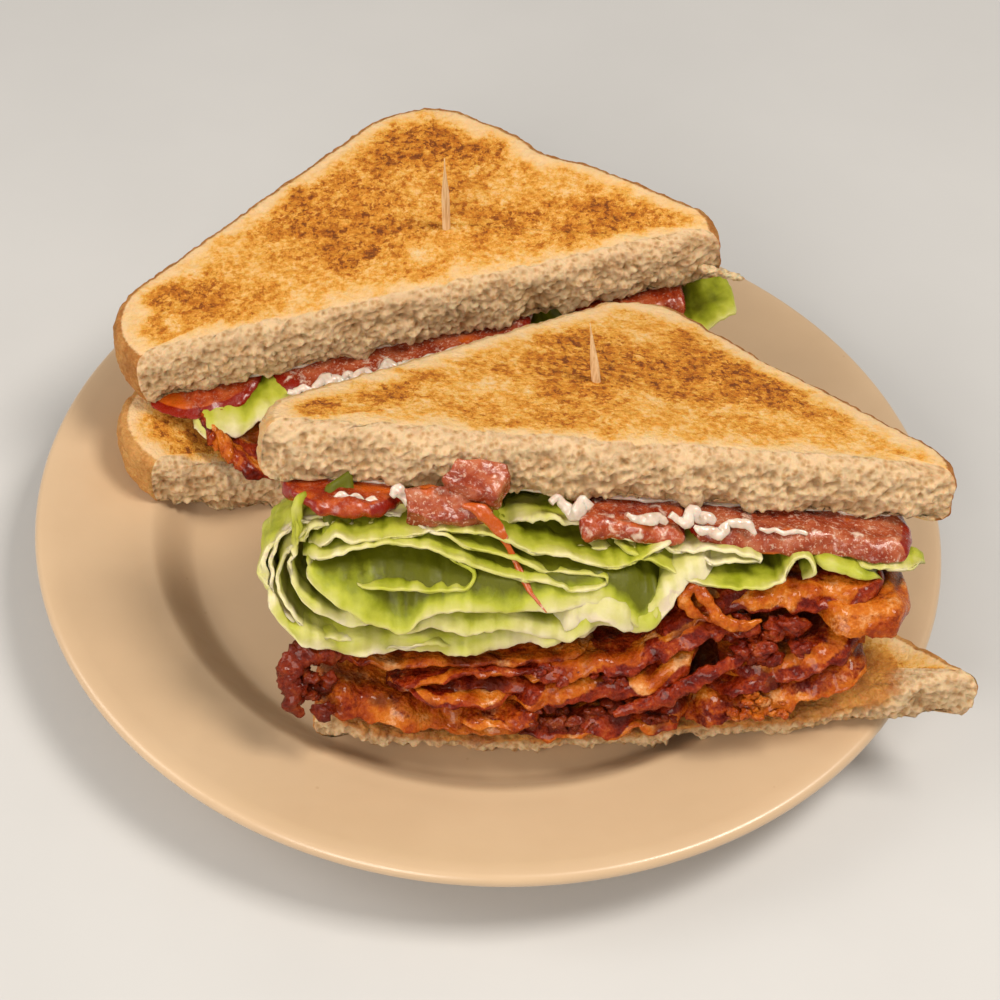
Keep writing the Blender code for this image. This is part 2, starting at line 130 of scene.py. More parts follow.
class Batch:
    """Points and faces of one piece, gathered from several surfaces."""

    def __init__(self):
        self.points = []
        self.faces = []
        self.layers = {}
        self.count = 0

    def add(self, points, *faces, **layers):
        points = np.asarray(points, float).reshape(-1, 3)
        for block in faces:
            self.faces += (np.asarray(block) + self.count).tolist()
        self.points.append(points)
        self.count += len(points)
        for key, values in layers.items():
            full = np.broadcast_to(np.asarray(values, np.float32), (len(points),))
            self.layers.setdefault(key, []).append(full)

    def make(self, name, finish, nodes):
        mesh = bpy.data.meshes.new(name)
        mesh.from_pydata((np.concatenate(self.points) * MM).tolist(), [], self.faces)
        mesh.shade_smooth()
        for key, values in self.layers.items():
            layer = mesh.attributes.new(key, "FLOAT", "POINT")
            layer.data.foreach_set("value", np.concatenate(values).astype(np.float32))
        mesh.materials.append(finish)
        obj = bpy.data.objects.new(name, mesh)
        bpy.context.scene.collection.objects.link(obj)
        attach(obj, "root")
        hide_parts(*nodes)


def sheet_normals(surface):
    normal = np.cross(np.gradient(surface, axis=0), np.gradient(surface, axis=1))
    return normal / np.maximum(np.linalg.norm(normal, axis=-1), 1e-12)[..., None]


def add_sheet(batch, surface, thick, edge=0.35, **layers):
    """A thin closed solid round a grid of points; layers have one value for each point."""
    columns, rows = surface.shape[:2]
    taper = np.ones((columns, rows))
    taper[[0, -1], :] = edge
    taper[:, [0, -1]] = edge
    offset = sheet_normals(surface) * (np.asarray(thick) * taper)[..., None] / 2
    shift = columns * rows
    top = grid_faces(columns, rows)
    border = [i * rows for i in range(columns)] + [(columns - 1) * rows + j for j in range(1, rows)]
    border += [i * rows + rows - 1 for i in range(columns - 2, -1, -1)] + list(range(rows - 2, 0, -1))
    border = np.array(border)
    ahead = np.roll(border, -1)
    rim = np.stack([border, border + shift, ahead + shift, ahead], axis=-1)
    both = {key: np.tile(np.broadcast_to(v, (columns, rows)).reshape(-1), 2) for key, v in layers.items()}
    batch.add(np.concatenate([(surface + offset).reshape(-1, 3), (surface - offset).reshape(-1, 3)]),
              top[:, ::-1], top + shift, rim, **both)


def rest_height(r):
    """Height of the underside of bread that sags over the plate at radius r."""
    ramp = smooth(62, 89, r)
    on_rim = WELL_EDGE_Z + 0.24 * (r - WELL_EDGE_R)
    return REST_CLEAR + mix(WELL_FLOOR_Z, np.maximum(on_rim, WELL_EDGE_Z + 0.3), ramp)


def leg_depth(x):
    """Depth of the half slice behind the cut at x."""
    left = APEX[1] * (x + CUT / 2) / (APEX[0] + CUT / 2)
    right = APEX[1] * (CUT / 2 - x) / (CUT / 2 - APEX[0])
    return np.minimum(left, right)


class Half:
    """One half sandwich: where its two slices lie, and the space between them."""

    def __init__(self, spot, turn, lid_at, lid_turn, base_thick, lid_thick):
        self.base_thick = base_thick
        self.lid_thick = lid_thick
        place = Matrix.Translation((spot[0], spot[1], 0)) @ Matrix.Rotation(math.radians(turn), 4, "Z")
        lid = Matrix.Translation(lid_at) @ Euler([math.radians(a) for a in lid_turn]).to_matrix().to_4x4()
        self.to_plate = np.array(place)
        self.lid_to_plate = np.array(place @ lid)

    def base(self, x, y, k):
        """A point of the bottom slice; k is 0 below and 1 on top."""
        flat = xyz(x, y, 0) @ self.to_plate[:3, :3].T + self.to_plate[:3, 3]
        flat[..., 2] = rest_height(np.hypot(flat[..., 0], flat[..., 1])) + k * self.base_thick(x, y)
        return flat

    def lid(self, x, y, k):
        flat = xyz(x, y, (np.asarray(k) - 1) * self.lid_thick)
        return flat @ self.lid_to_plate[:3, :3].T + self.lid_to_plate[:3, 3]

    def fill(self, x, y, t):
        """A point of the filling."""
        low = self.base(x, y, 1) + np.array((0, 0, 0.8))
        return mix(low, self.lid(x, y, 0), np.asarray(t, float)[..., None])

    def gap(self, x, y):
        return np.linalg.norm(self.fill(x, y, 1) - self.fill(x, y, 0), axis=-1)

    def under_lid(self, x, y, depth):
        return self.fill(x, y, 1 - depth / self.gap(x, y))


def front_base_thick(x, y):
    at_cut = 5.2 + 3.6 * smooth(-55, -77, x) + 9 * smooth(30, 72, x)
    return mix(at_cut, 13, smooth(2, 26, y))


FRONT = Half((39.0, -68.0), 3.9, (-9.8, 31.6, 79.2), (-14.8, 3.7, -0.3), front_base_thick, 14.0)
BACK = Half((-18.0, 14.2), 15.0, (2.5, 18.9, 57.0), (2.4, -7.1, 1.4),
            lambda x, y: 14 + 0 * np.asarray(x), 16.5)


def half_of(node):
    return FRONT if node.startswith("front") else BACK


class Finish:
    """A Principled material with short ways to add and join nodes; sizes are in millimetres."""

    def __init__(self, name, **constants):
        self.material = bpy.data.materials.new(name)
        self.material.use_nodes = True
        self.tree = self.material.node_tree
        self.shader = self.tree.nodes["Principled BSDF"]
        for key, value in constants.items():
            self.shader.inputs[key.replace("_", " ")].default_value = value
        self.place = self.tree.nodes.new("ShaderNodeTexCoord").outputs["Object"]
        self.normal = None

    def node(self, kind, sockets, **settings):
        made = self.tree.nodes.new(kind)
        for key, value in settings.items():
            setattr(made, key, value)
        for key, value in sockets.items():
            if isinstance(value, bpy.types.NodeSocket):
                self.tree.links.new(value, made.inputs[key])
            elif value is not None:
                made.inputs[key].default_value = value
        return made

    def stretched(self, scale):
        return self.node("ShaderNodeMapping", {"Vector": self.place, "Scale": scale}).outputs[0]

    def noise(self, size, detail=3, rough=0.55, distortion=0, place=None):
        return self.node("ShaderNodeTexNoise", {
            "Vector": place or self.place, "Scale": 1 / (size * MM), "Detail": detail,
            "Roughness": rough, "Distortion": distortion}).outputs["Fac"]

    def cells(self, size):
        return self.node("ShaderNodeTexVoronoi",
                         {"Vector": self.place, "Scale": 1 / (size * MM)}).outputs["Distance"]

    def layer(self, name):
        return self.node("ShaderNodeAttribute", {}, attribute_name=name).outputs["Fac"]

    def math(self, operation, a, b):
        return self.node("ShaderNodeMath", {0: a, 1: b}, operation=operation).outputs[0]

    def add(self, *terms):
        total = terms[-1]
        for term in reversed(terms[:-1]):
            total = self.math("ADD", term, total)
        return total

    def mul(self, a, b):
        return self.math("MULTIPLY", a, b)

    def about(self, value, gain):
        """How far a value is from one half, times gain."""
        return self.mul(self.math("SUBTRACT", value, 0.5), gain)

    def between(self, value, a, b, c=0, d=1):
        return self.node("ShaderNodeMapRange", {0: value, 1: a, 2: b, 3: c, 4: d},
                         interpolation_type="SMOOTHSTEP").outputs[0]

    def ramp(self, value, *stops):
        made = self.node("ShaderNodeValToRGB", {"Fac": value})
        ramp = made.color_ramp
        while len(ramp.elements) < len(stops):
            ramp.elements.new(1)
        for element, (spot, colour) in zip(ramp.elements, stops):
            element.position = spot
            element.color = (*colour, 1)
        return made.outputs["Color"]

    def blend(self, factor, a, b):
        made = self.node("ShaderNodeMix", {"Factor": factor}, data_type="RGBA")
        for name, value in (("A", a), ("B", b)):
            socket = next(s for s in made.inputs if s.name == name and s.type == "RGBA")
            if isinstance(value, bpy.types.NodeSocket):
                self.tree.links.new(value, socket)
            else:
                socket.default_value = (*value, 1)
        return next(s for s in made.outputs if s.type == "RGBA")

    def bump(self, height, depth, strength):
        made = self.node("ShaderNodeBump", {"Height": height, "Distance": depth * MM,
                                            "Strength": strength, "Normal": self.normal})
        self.normal = made.outputs[0]

    def done(self, colour, roughness=None):
        self.tree.links.new(colour, self.shader.inputs["Base Color"])
        if roughness is not None:
            self.tree.links.new(roughness, self.shader.inputs["Roughness"])
        if self.normal is not None:
            self.tree.links.new(self.normal, self.shader.inputs["Normal"])
        return self.material


def toast_finish():
    f = Finish("toasted_bread", Subsurface_Weight=0.3, Subsurface_Scale=0.002, Specular_IOR_Level=0.3)
    cut, crust, inner, bake, oil = (f.layer(name) for name in ("cut", "crust", "inner", "bake", "oil"))
    broad = f.between(f.noise(27, detail=2), 0.36, 0.66)
    patch = f.noise(5.5, detail=4, rough=0.65, distortion=0.4)
    speck = f.noise(1.5, detail=5, rough=0.8)
    flake = f.between(f.noise(2, detail=5, rough=0.75, distortion=0.25), 0.51, 0.57)
    pores = f.cells(1.5)
    rim = f.between(f.add(inner, f.about(f.noise(9, detail=3), 16)), 1, 10)
    mottled = f.add(f.add(f.about(patch, 0.8), f.about(speck, 1)),
                    f.mul(flake, f.add(0.07, f.mul(broad, 0.22))))
    heat = f.add(f.mul(rim, f.add(0.245, f.mul(broad, 0.24))), f.mul(mottled, f.add(0.12, rim)))
    face = f.ramp(heat, (0, (0.8, 0.55, 0.29)), (0.15, (0.8, 0.48, 0.17)), (0.3, (0.74, 0.36, 0.055)),
                  (0.46, (0.58, 0.215, 0.014)), (0.62, (0.39, 0.108, 0.005)), (0.85, (0.17, 0.04, 0.003)))
    # Darker towards the middle of each pore cell: painted shade in the pores, over the crumb's own uneven
    # tone.
    crumb = f.ramp(f.add(f.mul(f.noise(2.2, detail=4), 0.7), f.mul(pores, 0.5)),
                   (0.25, (0.38, 0.2, 0.075)), (0.42, (0.55, 0.33, 0.148)), (0.65, (0.75, 0.54, 0.315)))
    # Painted shade: the crumb turns dark where its torn face sinks into pits and recesses.
    crumb = f.blend(f.mul(f.layer("pit"), 0.75), crumb, (0.38, 0.2, 0.075))
    skin = f.ramp(f.add(f.mul(bake, 0.75), f.about(patch, 0.6), f.about(speck, 0.8)),
                  (0, (0.62, 0.42, 0.21)), (0.3, (0.6, 0.31, 0.09)), (0.6, (0.38, 0.15, 0.03)),
                  (0.95, (0.16, 0.05, 0.012)))
    rough_edge = f.about(speck, 0.8)
    colour = f.blend(f.between(f.add(crust, rough_edge), 0.3, 0.7), face, skin)
    colour = f.blend(f.between(f.add(cut, rough_edge), 0.3, 0.7), colour, crumb)
    soaked = f.between(f.add(oil, rough_edge), 0.25, 0.85)
    amber = f.ramp(patch, (0.35, (0.38, 0.105, 0.01)), (0.65, (0.62, 0.27, 0.045)))
    colour = f.blend(f.mul(soaked, 0.92), colour, amber)
    f.bump(speck, 0.9, 0.7)
    f.bump(f.noise(0.7, detail=3, rough=0.7), 0.5, 0.8)
    f.bump(flake, 0.4, 0.3)
    f.bump(pores, 0.8, 0.35)
    f.bump(patch, 1.2, 0.25)
    return f.done(colour, f.math("SUBTRACT", f.between(speck, 0.2, 0.8, 0.62, 0.92), f.mul(soaked, 0.5)))


def bacon_finish():
    f = Finish("fried_bacon", Coat_Weight=0.25, Coat_Roughness=0.05, Specular_IOR_Level=0.12,
               Subsurface_Weight=0.08, Subsurface_Scale=0.0015, Subsurface_Radius=(1, 0.3, 0.12))
    fat, crisp = f.layer("fat"), f.layer("crisp")
    patch = f.noise(4.5, detail=5, rough=0.65, distortion=0.5)
    fine = f.noise(0.9, detail=4, rough=0.7)
    pits = f.cells(1.1)
    lean = f.ramp(f.add(f.mul(patch, 0.8), f.mul(fine, 0.3)),
                  (0.32, (0.035, 0.002, 0.001)), (0.48, (0.13, 0.006, 0.001)), (0.6, (0.28, 0.026, 0.003)),
                  (0.78, (0.5, 0.12, 0.02)))
    pale = f.ramp(f.add(f.mul(f.noise(6, detail=4), 0.8), f.mul(fine, 0.25)),
                  (0.34, (0.19, 0.014, 0.001)), (0.48, (0.4, 0.07, 0.003)), (0.6, (0.55, 0.15, 0.01)),
                  (0.72, (0.76, 0.4, 0.17)))
    streaks = f.between(f.add(fat, f.about(fine, 0.5), f.about(patch, 1.1)), 0.3, 0.85)
    colour = f.blend(streaks, lean, pale)
    # This layer turns the colour near black: partly the bacon's own well-cooked colour, partly painted shade
    # in crevices and on lumps that face the light.
    colour = f.blend(f.mul(f.between(crisp, 0.45, 0.95), 0.8), colour, (0.07, 0.008, 0.002))
    f.bump(fine, 0.6, 0.7)
    f.bump(pits, 0.5, 0.5)
    f.bump(patch, 1.6, 0.5)
    return f.done(colour, f.between(fine, 0.2, 0.8, 0.14, 0.36))


def lettuce_finish():
    f = Finish("crisp_lettuce", Subsurface_Weight=0.3, Subsurface_Scale=0.0025,
               Subsurface_Radius=(0.8, 1, 0.3), Specular_IOR_Level=0.2)
    pale, rib = f.layer("pale"), f.layer("rib")
    fine = f.noise(2.4, detail=4, rough=0.6)
    depth = f.add(pale, f.about(f.noise(14, detail=3), 0.8), f.about(fine, 0.3))
    # Low values give the darkest greens; in part they are painted shade, from the dark term of each leaf.
    colour = f.ramp(f.add(depth, f.mul(rib, 0.16)), (0, (0.1, 0.105, 0.003)),
                    (0.22, (0.24, 0.265, 0.01)), (0.45, (0.42, 0.43, 0.045)),
                    (0.7, (0.53, 0.5, 0.16)), (1, (0.7, 0.63, 0.4)))
    stain = f.between(f.noise(6, detail=3, distortion=1), 0.56, 0.66, 0, 0.45)
    colour = f.blend(f.mul(stain, f.between(pale, 0.6, 1)), colour, (0.5, 0.36, 0.32))
    f.bump(fine, 0.6, 0.4)
    return f.done(colour, f.between(fine, 0.3, 0.7, 0.36, 0.6))


def tomato_finish():
    f = Finish("sliced_tomato", Subsurface_Weight=0.2, Subsurface_Scale=0.003,
               Subsurface_Radius=(1, 0.3, 0.15), Coat_Weight=0.35, Coat_Roughness=0.08,
               Specular_IOR_Level=0.3)
    skin, jelly, pink = f.layer("skin"), f.layer("jelly"), f.layer("pink")
    patch = f.noise(5, detail=4, rough=0.6)
    fine = f.noise(0.9, detail=3, rough=0.7)
    wet = f.ramp(patch, (0.35, (0.17, 0.009, 0.002)), (0.5, (0.32, 0.035, 0.004)), (0.66, (0.46, 0.09, 0.02)))
    dry = f.ramp(patch, (0.35, (0.22, 0.026, 0.008)), (0.5, (0.32, 0.066, 0.025)),
                 (0.66, (0.43, 0.14, 0.065)))
    flesh = f.blend(pink, wet, dry)
    grains = f.mul(f.between(fine, 0.56, 0.64), f.add(0.12, f.mul(pink, 0.55)))
    flesh = f.blend(grains, flesh, (0.68, 0.46, 0.34))
    colour = f.blend(f.between(jelly, 0.3, 0.8), flesh, (0.48, 0.085, 0.006))
    colour = f.blend(f.between(skin, 0.3, 0.7), colour, (0.22, 0.01, 0.003))
    patches = f.about(f.noise(3.2, detail=4, distortion=0.6), 2.2)
    smeared = f.between(f.add(f.layer("cream"), patches), 0.45, 0.8)
    colour = f.blend(f.mul(smeared, 0.75), colour, (0.76, 0.62, 0.5))
    f.bump(patch, 1, 0.3)
    f.bump(fine, 0.4, 0.5)
    return f.done(colour, f.between(fine, 0.3, 0.7, 0.16, 0.34))


def mayonnaise_finish():
    f = Finish("mayonnaise", Subsurface_Weight=0.3, Subsurface_Scale=0.002, Coat_Weight=0.4,
               Coat_Roughness=0.1)
    patch = f.noise(3, detail=3)
    colour = f.ramp(patch, (0.3, (0.52, 0.39, 0.3)), (0.6, (0.68, 0.58, 0.49)))
    f.bump(patch, 0.8, 0.3)
    return f.done(colour, f.between(patch, 0.3, 0.7, 0.16, 0.3))


def wood_finish():
    f = Finish("toothpick_wood", Specular_IOR_Level=0.3)
    lines = f.noise(0.5, detail=3, place=f.stretched((1, 1, 0.06)))
    colour = f.ramp(lines, (0.3, (0.5, 0.29, 0.12)), (0.5, (0.7, 0.47, 0.25)), (0.7, (0.8, 0.6, 0.36)))
    f.bump(lines, 0.15, 0.6)
    return f.done(colour, f.between(lines, 0.3, 0.7, 0.5, 0.7))


def plate_finish():
    f = Finish("glazed_plate", Coat_Weight=0.35, Coat_Roughness=0.18)
    cloud = f.noise(30, detail=3)
    fine = f.noise(1.4, detail=4, rough=0.7)
    specks = f.between(f.cells(9), 0.035, 0.06)
    scuffs = f.noise(3, detail=3, place=f.stretched((0.15, 1, 1)))
    colour = f.ramp(cloud, (0.3, (0.55, 0.385, 0.235)), (0.7, (0.59, 0.42, 0.26)))
    colour = f.blend(f.mul(f.math("SUBTRACT", 1, specks), 0.35), colour, (0.42, 0.25, 0.14))
    f.bump(fine, 0.08, 0.25)
    return f.done(colour, f.add(f.between(scuffs, 0.35, 0.7, 0.26, 0.4), f.mul(fine, 0.06)))


TOAST = toast_finish()
BACON = bacon_finish()
LETTUCE = lettuce_finish()
TOMATO = tomato_finish()
MAYONNAISE = mayonnaise_finish()
WOOD = wood_finish()
PLATE = plate_finish()


def add_rings(batch, rings, ends, **layers):
    """A closed surface through rings of points, from a middle point below to one above.

    A layer has one value, or one for each point of the rings.
    """
    rows, count = rings.shape[:2]
    low, last = rows * count, (rows - 1) * count
    j = np.arange(count)
    k = (j + 1) % count
    fans = np.concatenate([np.stack([low + 0 * j, k, j], axis=-1),
                           np.stack([low + 1 + 0 * j, last + j, last + k], axis=-1)])
    full = {key: np.append(v, (v[0], v[-1])) if np.ndim(v) else v for key, v in layers.items()}
    batch.add(np.concatenate([rings.reshape(-1, 3), ends]), grid_faces(rows, count, wrap=True), fans, **full)


def add_tube(batch, rings, **layers):
    """A closed surface through rings of points, flat at both ends."""
    rows, sides = rings.shape[:2]
    first = batch.count
    batch.add(rings, grid_faces(rows, sides, wrap=True), **layers)
    last = batch.count - sides
    batch.faces += [[first + i for i in range(sides)][::-1], [last + i for i in range(sides)]]


def make_plate():
    def wall(k):
        return mix(WELL_FLOOR_R, WELL_EDGE_R, k), mix(WELL_FLOOR_Z, WELL_EDGE_Z, float(smooth(0, 1, k)))

    lip_r = PLATE_R - PLATE_LIP / 2
    lip_z = PLATE_RIM_Z - PLATE_LIP / 2
    profile = [(r, WELL_FLOOR_Z) for r in (15, 30, 45, 60, 68, 72)]
    profile += [wall(k) for k in np.linspace(0, 0.96, 16)]
    profile += [(mix(WELL_EDGE_R, lip_r - 1.2, k), mix(WELL_EDGE_Z, PLATE_RIM_Z, k ** 0.94))
                for k in np.linspace(0.01, 1, 10)]
    profile += [(lip_r + PLATE_LIP / 2 * math.sin(a), lip_z + PLATE_LIP / 2 * math.cos(a))
                for a in np.radians(np.arange(-10, 171, 12))]
    profile += [(WELL_EDGE_R + 1.5, WELL_EDGE_Z - 4.6), (WELL_FLOOR_R + 5, 3.4), (PLATE_BASE_R + 1.2, 1.2),
                (PLATE_BASE_R, 0), (PLATE_BASE_R - 2.5, 0), (40, 0)]
    a = 2 * math.pi * np.arange(PLATE_STEPS) / PLATE_STEPS
    rings = np.array([xyz(r * np.cos(a), r * np.sin(a), z) for r, z in profile[::-1]])
    batch = Batch()
    add_rings(batch, rings, [(0, 0, 0), (0, 0, WELL_FLOOR_Z)])
    batch.make("plate_glazed", PLATE, ["plate"])


def slice_outline(shape, cut_points, leg_points, arc_points):
    """Half a slice, counter-clockwise: points, outward normals, and 1 on crust, 0 on the cut."""
    r_left, y_left, r_right, y_right, r_apex, waist = shape
    inward = sum(v / np.linalg.norm(v) for v in (np.array((end, 0)) - APEX for end in (-CUT / 2, CUT / 2)))
    centre_l = np.array((-CUT_REACH + r_left, y_left))
    centre_r = np.array((CUT_REACH - r_right, y_right))
    centre_a = APEX + r_apex * inward

    def leg_normal(start, r_start, stop, r_stop):
        way = stop - start
        turn = math.atan2(way[1], way[0]) - math.acos((r_start - r_stop) / np.linalg.norm(way))
        return turn % (2 * math.pi)

    turn_r = leg_normal(centre_r, r_right, centre_a, r_apex)
    turn_l = leg_normal(centre_a, r_apex, centre_l, r_left)
    points, normals = [], []

    def arc(centre, radius, a0, a1):
        a = np.linspace(a0, a1, arc_points)
        n = np.stack([np.cos(a), np.sin(a)], axis=-1)
        points.append(centre + radius * n)
        normals.append(n)

    def leg(start, r_start, stop, r_stop, angle, dip):
        n = np.array((math.cos(angle), math.sin(angle)))
        k = np.linspace(0, 1, leg_points + 1)[1:-1, None]
        edge = mix(start + r_start * n, stop + r_stop * n, k)
        points.append(edge - dip * np.exp(-((k - WAIST_AT) / 0.13) ** 2) * n)
        normals.append(np.broadcast_to(n, edge.shape))

    arc(centre_r, r_right, -math.asin(y_right / r_right), turn_r)
    leg(centre_r, r_right, centre_a, r_apex, turn_r, waist)
    arc(centre_a, r_apex, turn_r, turn_l)
    leg(centre_a, r_apex, centre_l, r_left, turn_l, 0)
    arc(centre_l, r_left, turn_l, math.pi + math.asin(y_left / r_left))
    ring, out = np.concatenate(points), np.concatenate(normals)
    k = np.linspace(0, 1, cut_points + 1)[1:-1, None]
    cut = mix(ring[-1], ring[0], k)
    crust = np.concatenate([np.zeros(len(cut)), np.ones(len(ring))])
    return np.concatenate([cut, ring]), np.concatenate([np.tile((0, -1), (len(cut), 1)), out]), crust


def add_bread(batch, place, shape, stretch, seed, bake, oil, bare):
    """A half slice; place(x, y, k) gives a point, and k is 0 below and 1 on top.

    stretch is how much longer than the CAD's the cut is. bake(x, y) is how dark the crust is, oil(x, y, k)
    is where fat has soaked in, and bare(x) is how far the crumb shows on the faces.
    """
    side_rows, face_rows = 31, 22
    ring, out, crust = slice_outline(shape, 330, 96, 24)
    ring[:, 0] *= stretch
    count = len(ring)
    round_low = mix(0.8, CRUST_ROUND, crust)
    wander = smooth(CUT_REACH, CUT_REACH - 12, np.abs(ring[:, 0])) * grain(xyz(*ring.T, seed), 5)
    round_top = mix(2.8 + 1.4 * wander, CRUST_ROUND, crust)
    reach = np.abs(((ring - SLICE_MIDDLE) * out).sum(axis=1))
    shares = (1 - (np.arange(1, face_rows) / face_rows) ** 1.35)[::-1]
    levels = [(share, 0) for share in shares] + [(1, k) for k in np.linspace(0, 1, side_rows)]
    levels += [(share, 1) for share in shares[::-1]]
    rows, layers = [], []
    for share, k in levels:
        bend = abs(2 * k - 1)
        curl = 1 - (1 - bend ** 3.2) ** (1 / 2.2)
        inset = (round_top if k > 0.5 else round_low) * curl
        drawn = ring - out * inset[:, None]
        drawn[:, 0] *= 1 - (1 - crust) * CRUST_ROUND * curl / CUT_REACH
        corner = crust * np.exp(-np.maximum(ring[:, 1], 0) / 6)
        drawn[:, 1] = mix(drawn[:, 1], ring[:, 1] + (2.8 if k > 0.5 else 0.8) * curl, corner)
        flat = SLICE_MIDDLE + (drawn - SLICE_MIDDLE) * share
        away = (1 - share) * reach
        rows.append(place(*flat.T, k))
        fade = smooth(1, 0.93, bend)
        torn_here = (1 - crust) * smooth(1, 0.1, away / bare(flat[:, 0])) * (1 if share == 1 else 0.8)
        layers.append((np.full(count, k), torn_here, crust * (fade if share == 1 else 0), away + 0.5 * inset,
                       bake(*flat.T), oil(*flat.T, k)))
    middle = np.concatenate([place(*SLICE_MIDDLE[:, None], 0), place(*SLICE_MIDDLE[:, None], 1)])
    points = np.concatenate(rows)
    faces = grid_faces(len(rows), count, wrap=True)
    side, cut_mask, crust_mask, inner, baked, oiled = (np.concatenate(v) for v in zip(*layers))

    normal = vertex_normals(points, faces)
    torn = 1.2 * grain(points, 9, seed) + 1.1 * (np.abs(grain(points, 4.6, seed)) - 0.25)
    torn += 1.3 * (np.abs(grain(points, 2.3, seed)) - 0.25) + 0.85 * grain(points, 1.2, seed)
    torn -= 0.9 * smooth(0.45, 0.1, cells(points, 3.6, seed)) + 1.6 * smooth(0.4, 0, side) * smooth(
        -0.2, 0.4, grain(points, 7, seed + 5))
    torn *= mix(1, 0.55, smooth(0.6, 0.95, side))
    # Painted shade: 1 where the torn crumb sinks in, so its recesses are coloured dark.
    pit = cut_mask * smooth(0.2, -1.6, torn)
    scorched = 0.35 * grain(points, 6, seed) + 0.45 * grain(points, 2.2, seed)
    scorched += 0.25 * grain(points, 1.2, seed)
    level = 0.45 * grain(points, 22, seed) + 0.14 * grain(points, 1.6, seed)
    rim = np.tile(crust, len(rows)) * np.exp(-inner / 2)
    lift = torn * cut_mask + scorched * np.maximum(crust_mask, rim)
    lift += level * (1 - cut_mask) * (1 - crust_mask)
    points = points + normal * lift[:, None]
    fringe = cut_mask * (smooth(0.18, 0, side) - 0.4 * smooth(0.9, 1, side))
    hang = 1.8 * np.maximum(0, grain(points, 1.6, seed + 2)) + np.maximum(0, grain(points, 4.5, seed))
    points[:, 2] -= fringe * hang
    add_rings(batch, points.reshape(len(rows), count, 3), middle, cut=cut_mask, crust=crust_mask,
              inner=inner, bake=baked, oil=oiled, pit=pit)


def greasy(x, y, k):
    """Where the bacon's fat has soaked into the front half's bottom slice."""
    under = smooth(-76, -68, x) * smooth(64, 52, x) * smooth(22, 8, y)
    return under * (0.35 + 0.65 * smooth(0.45, 0.95, k)) + 0.12 * smooth(48, 60, x) * (k == 1)


def browned(x, y):
    return 0.15 + 0.7 * smooth(-60, -30, x - 0.8 * y)


def even(level):
    """The same level all over."""
    return lambda x, *spot: level + 0 * x


def make_bread():
    clean, dry = even(2.2), even(0)
    # Each: its corner radii, their heights and the waist, then what add_bread takes.
    slices = (("front_bread_bottom", FRONT.base, (14, 3, 12, -5, 16, 1.4), 1, 0, even(0.6), greasy,
               lambda x: 2.2 + 8 * smooth(46, 60, x)),
              ("front_bread_top", FRONT.lid, (16, 4, 16, 3, 16, 1.4), 1.03, 1.3, browned, dry, clean),
              ("back_bread_bottom", BACK.base, (18, 14, 14, 3, 20, 2), 1, 2.1, even(0.55), dry, clean),
              ("back_bread_top", BACK.lid, (20, 12, 15, 4, 24, 2.4), 1.02, 3.7, even(0.75), dry, clean))
    for node, place, *looks in slices:
        batch = Batch()
        add_bread(batch, place, *looks)
        if node == "back_bread_top":
            for n in range(6):
                at = place(73.5 + 1.5 * n, -1 - 0.6 * n, 0.35 - 0.03 * n)
                add_lump(batch, at, (1.7, 1.1, 1 - 0.08 * n), n * 1.3, **CRUMB_LAYERS)
        batch.make(node + "_toasted", TOAST, [node])


def curve(points, spacing, weights=(1, FILL_HEIGHT)):
    """Points about spacing apart on a smooth curve; weights turn the first axes into millimetres."""
    known = np.array(points, float)
    ends = np.concatenate([[2 * known[0] - known[1]], known, [2 * known[-1] - known[-2]]])
    fine = []
    for a, b, c, d in zip(ends, ends[1:], ends[2:], ends[3:]):
        steps = max(2, int(np.linalg.norm((c - b)[:len(weights)] * weights) / spacing))
        k = (np.arange(steps) / steps)[:, None]
        fine.append(0.5 * (2 * b + (c - a) * k + (2 * a - 5 * b + 4 * c - d) * k ** 2
                           + (3 * b - a - 3 * c + d) * k ** 3))
    return np.concatenate(fine + [known[-1:]])


def drape(half, path, depth, hang, steep, rows, spacing, ragged, seed, close=None):
    """A sheet that hangs over the cut and runs back into the filling.

    path has the front edge's (x, t, y), or (x, t, y, hang). The sheet rises from it at the angle
    steep for the length hang, then lies flat. close is a level and how far the sheet's far end
    nears it, 0 to 1. Both ends of the edge turn back over the last few millimetres.
    Returns the surface, the distance from the front edge and the distance along the edge.
    """
    known = curve(path, spacing)
    x, t, front = known.T[:3]
    step = np.hypot(np.diff(x), np.diff(t) * FILL_HEIGHT)
    along = np.concatenate([[0], np.cumsum(step)])
    tear = ragged * (grain(xyz(along, seed * 9, 0), 5) + 0.6 * grain(xyz(along, seed * 9, 4), 1.8))
    tip = smooth(0, EDGE_TAPER, np.minimum(along, along[-1] - along))
    front = front + 0.5 * tear + 0.9 * EDGE_TAPER * (1 - tip)
    hang = ((known[:, 3] if known.shape[1] > 3 else hang) * mix(0.2, 1, tip))[:, None]
    inside = np.minimum(depth, np.maximum(leg_depth(np.clip(x, -68, 68)) - 4, 8)) - front
    length = (hang + np.maximum(inside, 1)[:, None]) * np.linspace(0, 1, rows)[None, :] ** 1.5
    turn = math.radians(steep) * (1 - smooth(0.45, 1.4, length / (hang + 0.1)))
    gain = np.diff(length, axis=1)
    mid = (turn[:, 1:] + turn[:, :-1]) / 2
    start = np.zeros((len(x), 1))
    y = front[:, None] + np.concatenate([start, np.cumsum(gain * np.cos(mid), axis=1)], axis=1)
    rise = np.concatenate([start, np.cumsum(gain * np.sin(mid), axis=1)], axis=1)
    rise += (tear * math.sin(math.radians(steep)))[:, None] * np.exp(-length / 2)
    level = np.broadcast_to(t[:, None], y.shape)
    if close is not None:
        level = mix(level, close[0], close[1] * smooth(4, 26, length))
    point = half.fill(np.broadcast_to(x[:, None], y.shape), y, level)
    point[..., 2] += rise
    return point, length, np.broadcast_to(along[:, None], y.shape)


def pushed(surface, amount):
    """The surface moved along its own normals."""
    return surface + sheet_normals(surface) * amount[..., None]


